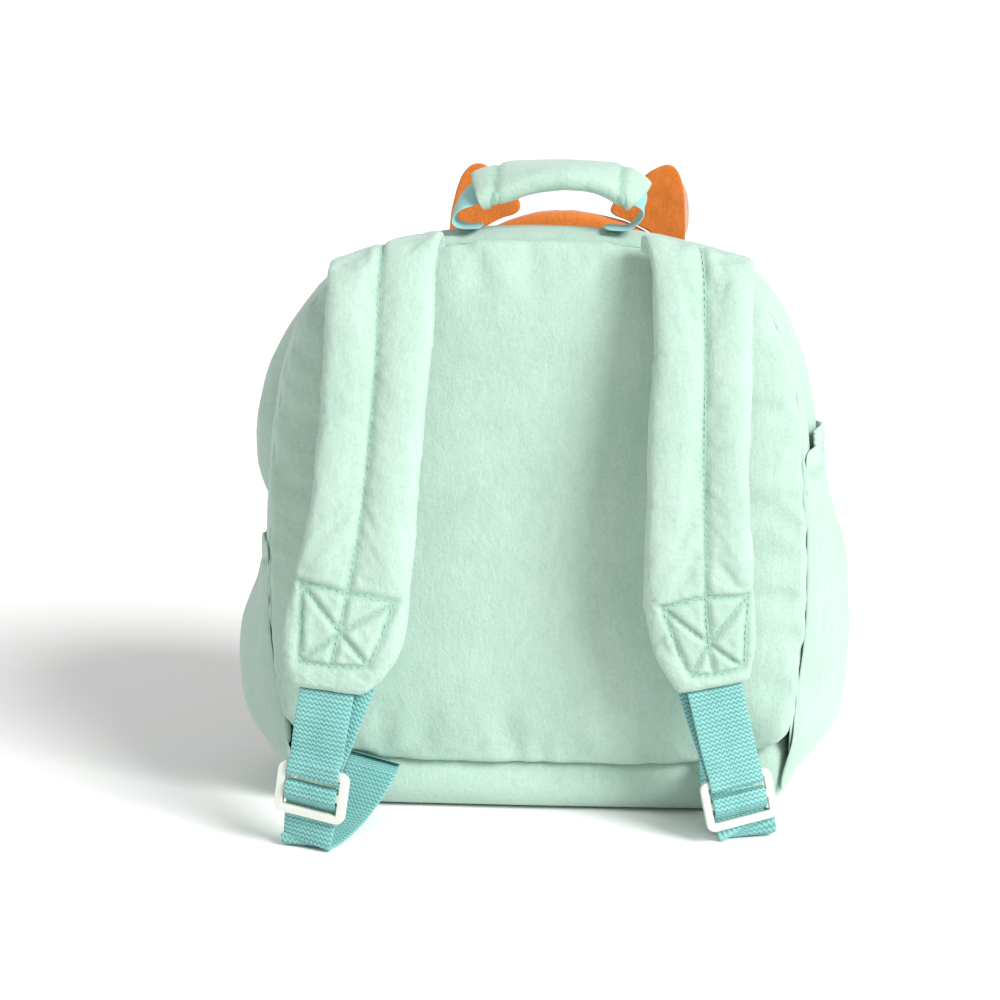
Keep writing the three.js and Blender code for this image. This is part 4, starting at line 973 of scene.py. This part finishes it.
# A plain stitched mouth under the nose
mouthLook = {"x": 5.5, "top": 193.0, "fork": 186.0, "corner": 187.0, "half": 12.0}
mouthTree = treeOf(bpy.data.objects["muzzle_cover"])
mouthLines = []
for way in (-1, 0, 1):
    shares = np.linspace(0, 1, 14)
    if way:
        xs = mouthLook["x"] + way * mouthLook["half"] * shares
        dip = mouthLook["corner"] - mouthLook["fork"]
        zs = mouthLook["fork"] + dip * shares - 4.5 * np.sin(math.pi * shares)
    else:
        xs = np.full(14, mouthLook["x"])
        zs = mouthLook["top"] + (mouthLook["fork"] - mouthLook["top"]) * shares
    line = [(dropped(mouthTree, (x, 90, z), (0, -1, 0), 40), np.array([0, 1.0, 0])) for x, z in zip(xs, zs)]
    mouthLines.append([(place, out) for place, out in line if place is not None])
mouth = stitchRun("muzzle_mouth_stitches", [line for line in mouthLines if len(line) > 2], 0.2)
dressed(mouth, darkThread, "dark_trim")
for node in ("eye_left", "eye_right", "nose"):
    dressed(softCopy(node, node + "_moulding", 2), glossPlastic, "dark_trim", node)
print("bag: head made")


# Zipper: two rows of teeth set between each other along the arch, on their tape
toothLook = {"pitch": 2.4, "length": 1.5, "inward": 0.7, "outward": 2.2, "height": 1.5}


def toothRow(look):
    band = softCopy("zipper_teeth", "zipper_teeth_guide", 0)
    corners = placesOf(band.data)
    bpy.data.objects.remove(band)
    turn = np.arctan2(corners[:, 0], corners[:, 2] - 120)
    stations = corners[np.argsort(turn)][:len(corners) // 4 * 4].reshape(-1, 4, 3).mean(axis=1)
    run = np.concatenate([[0], np.cumsum(np.linalg.norm(np.diff(stations, axis=0), axis=1))])
    points, faces = [], []
    for k in range(int(run[-1] / look["pitch"] * 2)):
        at = k * look["pitch"] / 2
        place, after = between(at, run, stations), between(at + 1, run, stations)
        ahead = unit(after - place)
        out = unit(np.cross((0, 1, 0), ahead))
        if out.dot(place - (0, 0, 120)) < 0:
            out = -out
        side = 1 if k % 2 else -1
        base = len(points)
        for high in (-0.5, 0.5):
            narrow = 0.78 if high > 0 else 1.0
            for along, y in ((-1, -look["inward"]), (1, -look["inward"]), (1, look["outward"]), (-1, look["outward"])):
                points.append(place + ahead * along * look["length"] / 2 * narrow + out * high * look["height"]
                              + np.array([0, side * y * narrow, 0]))
        faces += [tuple(base + i for i in face) for face in (
            (0, 1, 2, 3), (4, 5, 6, 7), (0, 1, 5, 4), (1, 2, 6, 5), (2, 3, 7, 6), (3, 0, 4, 7))]
    piece = newPiece("zipper_teeth_row", points, faces)
    work = bmesh.new()
    work.from_mesh(piece.data)
    bmesh.ops.recalc_face_normals(work, faces=work.faces)
    work.to_mesh(piece.data)
    work.free()
    bevel = piece.modifiers.new("round", "BEVEL")
    bevel.width = 0.22 * mm
    bevel.segments = 2
    applyModifiers(piece)
    return piece


dressed(toothRow(toothLook), zipPlastic, "zipper_plastic", "zipper_teeth")
for node, material, slot in (
    ("zipper_tape", zipTape, "zipper_tape"),
    ("zipper_slider", zipPlastic, "zipper_plastic"), ("zipper_pull", zipPlastic, "zipper_plastic"),
):
    dressed(softCopy(node, node + "_part", 1), material, slot, node)
print("bag: zipper made")


# Stage: a white floor, one large soft key from the right of the camera, and weak white light all round
stageLook = {"floor": "fbfbfa", "reach": 60000, "key": 3.9, "keySpread": 26, "keyAside": 49, "keyUp": 33,
             "fill": 0.6}
reach = stageLook["reach"]
floorCorners = [(-reach, -reach, -0.4), (reach, -reach, -0.4), (reach, reach, -0.4), (-reach, reach, -0.4)]
floorPiece = newPiece("studio_floor", floorCorners, [(0, 1, 2, 3)])
floorColour = stageLook["floor"]
floorMaterial = plainFinish("white painted studio floor", floorColour, floorColour, 0.85, 1.5, 3.0, 0.01)
floorPiece.data.materials.append(floorMaterial)

world = bpy.data.worlds.new("white studio")
world.use_nodes = True
world.node_tree.nodes["Background"].inputs["Color"].default_value = (1, 1, 1, 1)
world.node_tree.nodes["Background"].inputs["Strength"].default_value = stageLook["fill"]
bpy.context.scene.world = world

# The key stands far enough away to light the whole floor evenly.
keyData = bpy.data.lights.new("key softbox", "SUN")
keyData.energy = stageLook["key"]
keyData.angle = math.radians(stageLook["keySpread"])
key = bpy.data.objects.new("key softbox", keyData)
bpy.context.collection.objects.link(key)
aside, up = math.radians(stageLook["keyAside"]), math.radians(stageLook["keyUp"])
fromKey = Vector((-math.sin(aside) * math.cos(up), math.cos(aside) * math.cos(up), -math.sin(up)))
key.rotation_euler = fromKey.to_track_quat("-Z", "Y").to_euler()

cameraData = bpy.data.cameras.new("camera")
cameraData.lens = 109.4
cameraData.sensor_width = 36.0
cameraData.shift_x = -0.0365
cameraData.shift_y = 0.0567
cameraData.clip_end = 200
camera = bpy.data.objects.new("camera", cameraData)
bpy.context.collection.objects.link(camera)
azimuth, elevation, distance = math.radians(4), math.radians(13), 1.4
aim = Vector((0, -0.058, 0.125))
level = math.cos(elevation)
view = Vector((-math.sin(azimuth) * level, math.cos(azimuth) * level, -math.sin(elevation)))
camera.location = aim - view * distance
camera.rotation_euler = view.to_track_quat("-Z", "Y").to_euler()
bpy.context.scene.camera = camera
bpy.context.scene.view_settings.view_transform = "Standard"
print("bag: stage set")
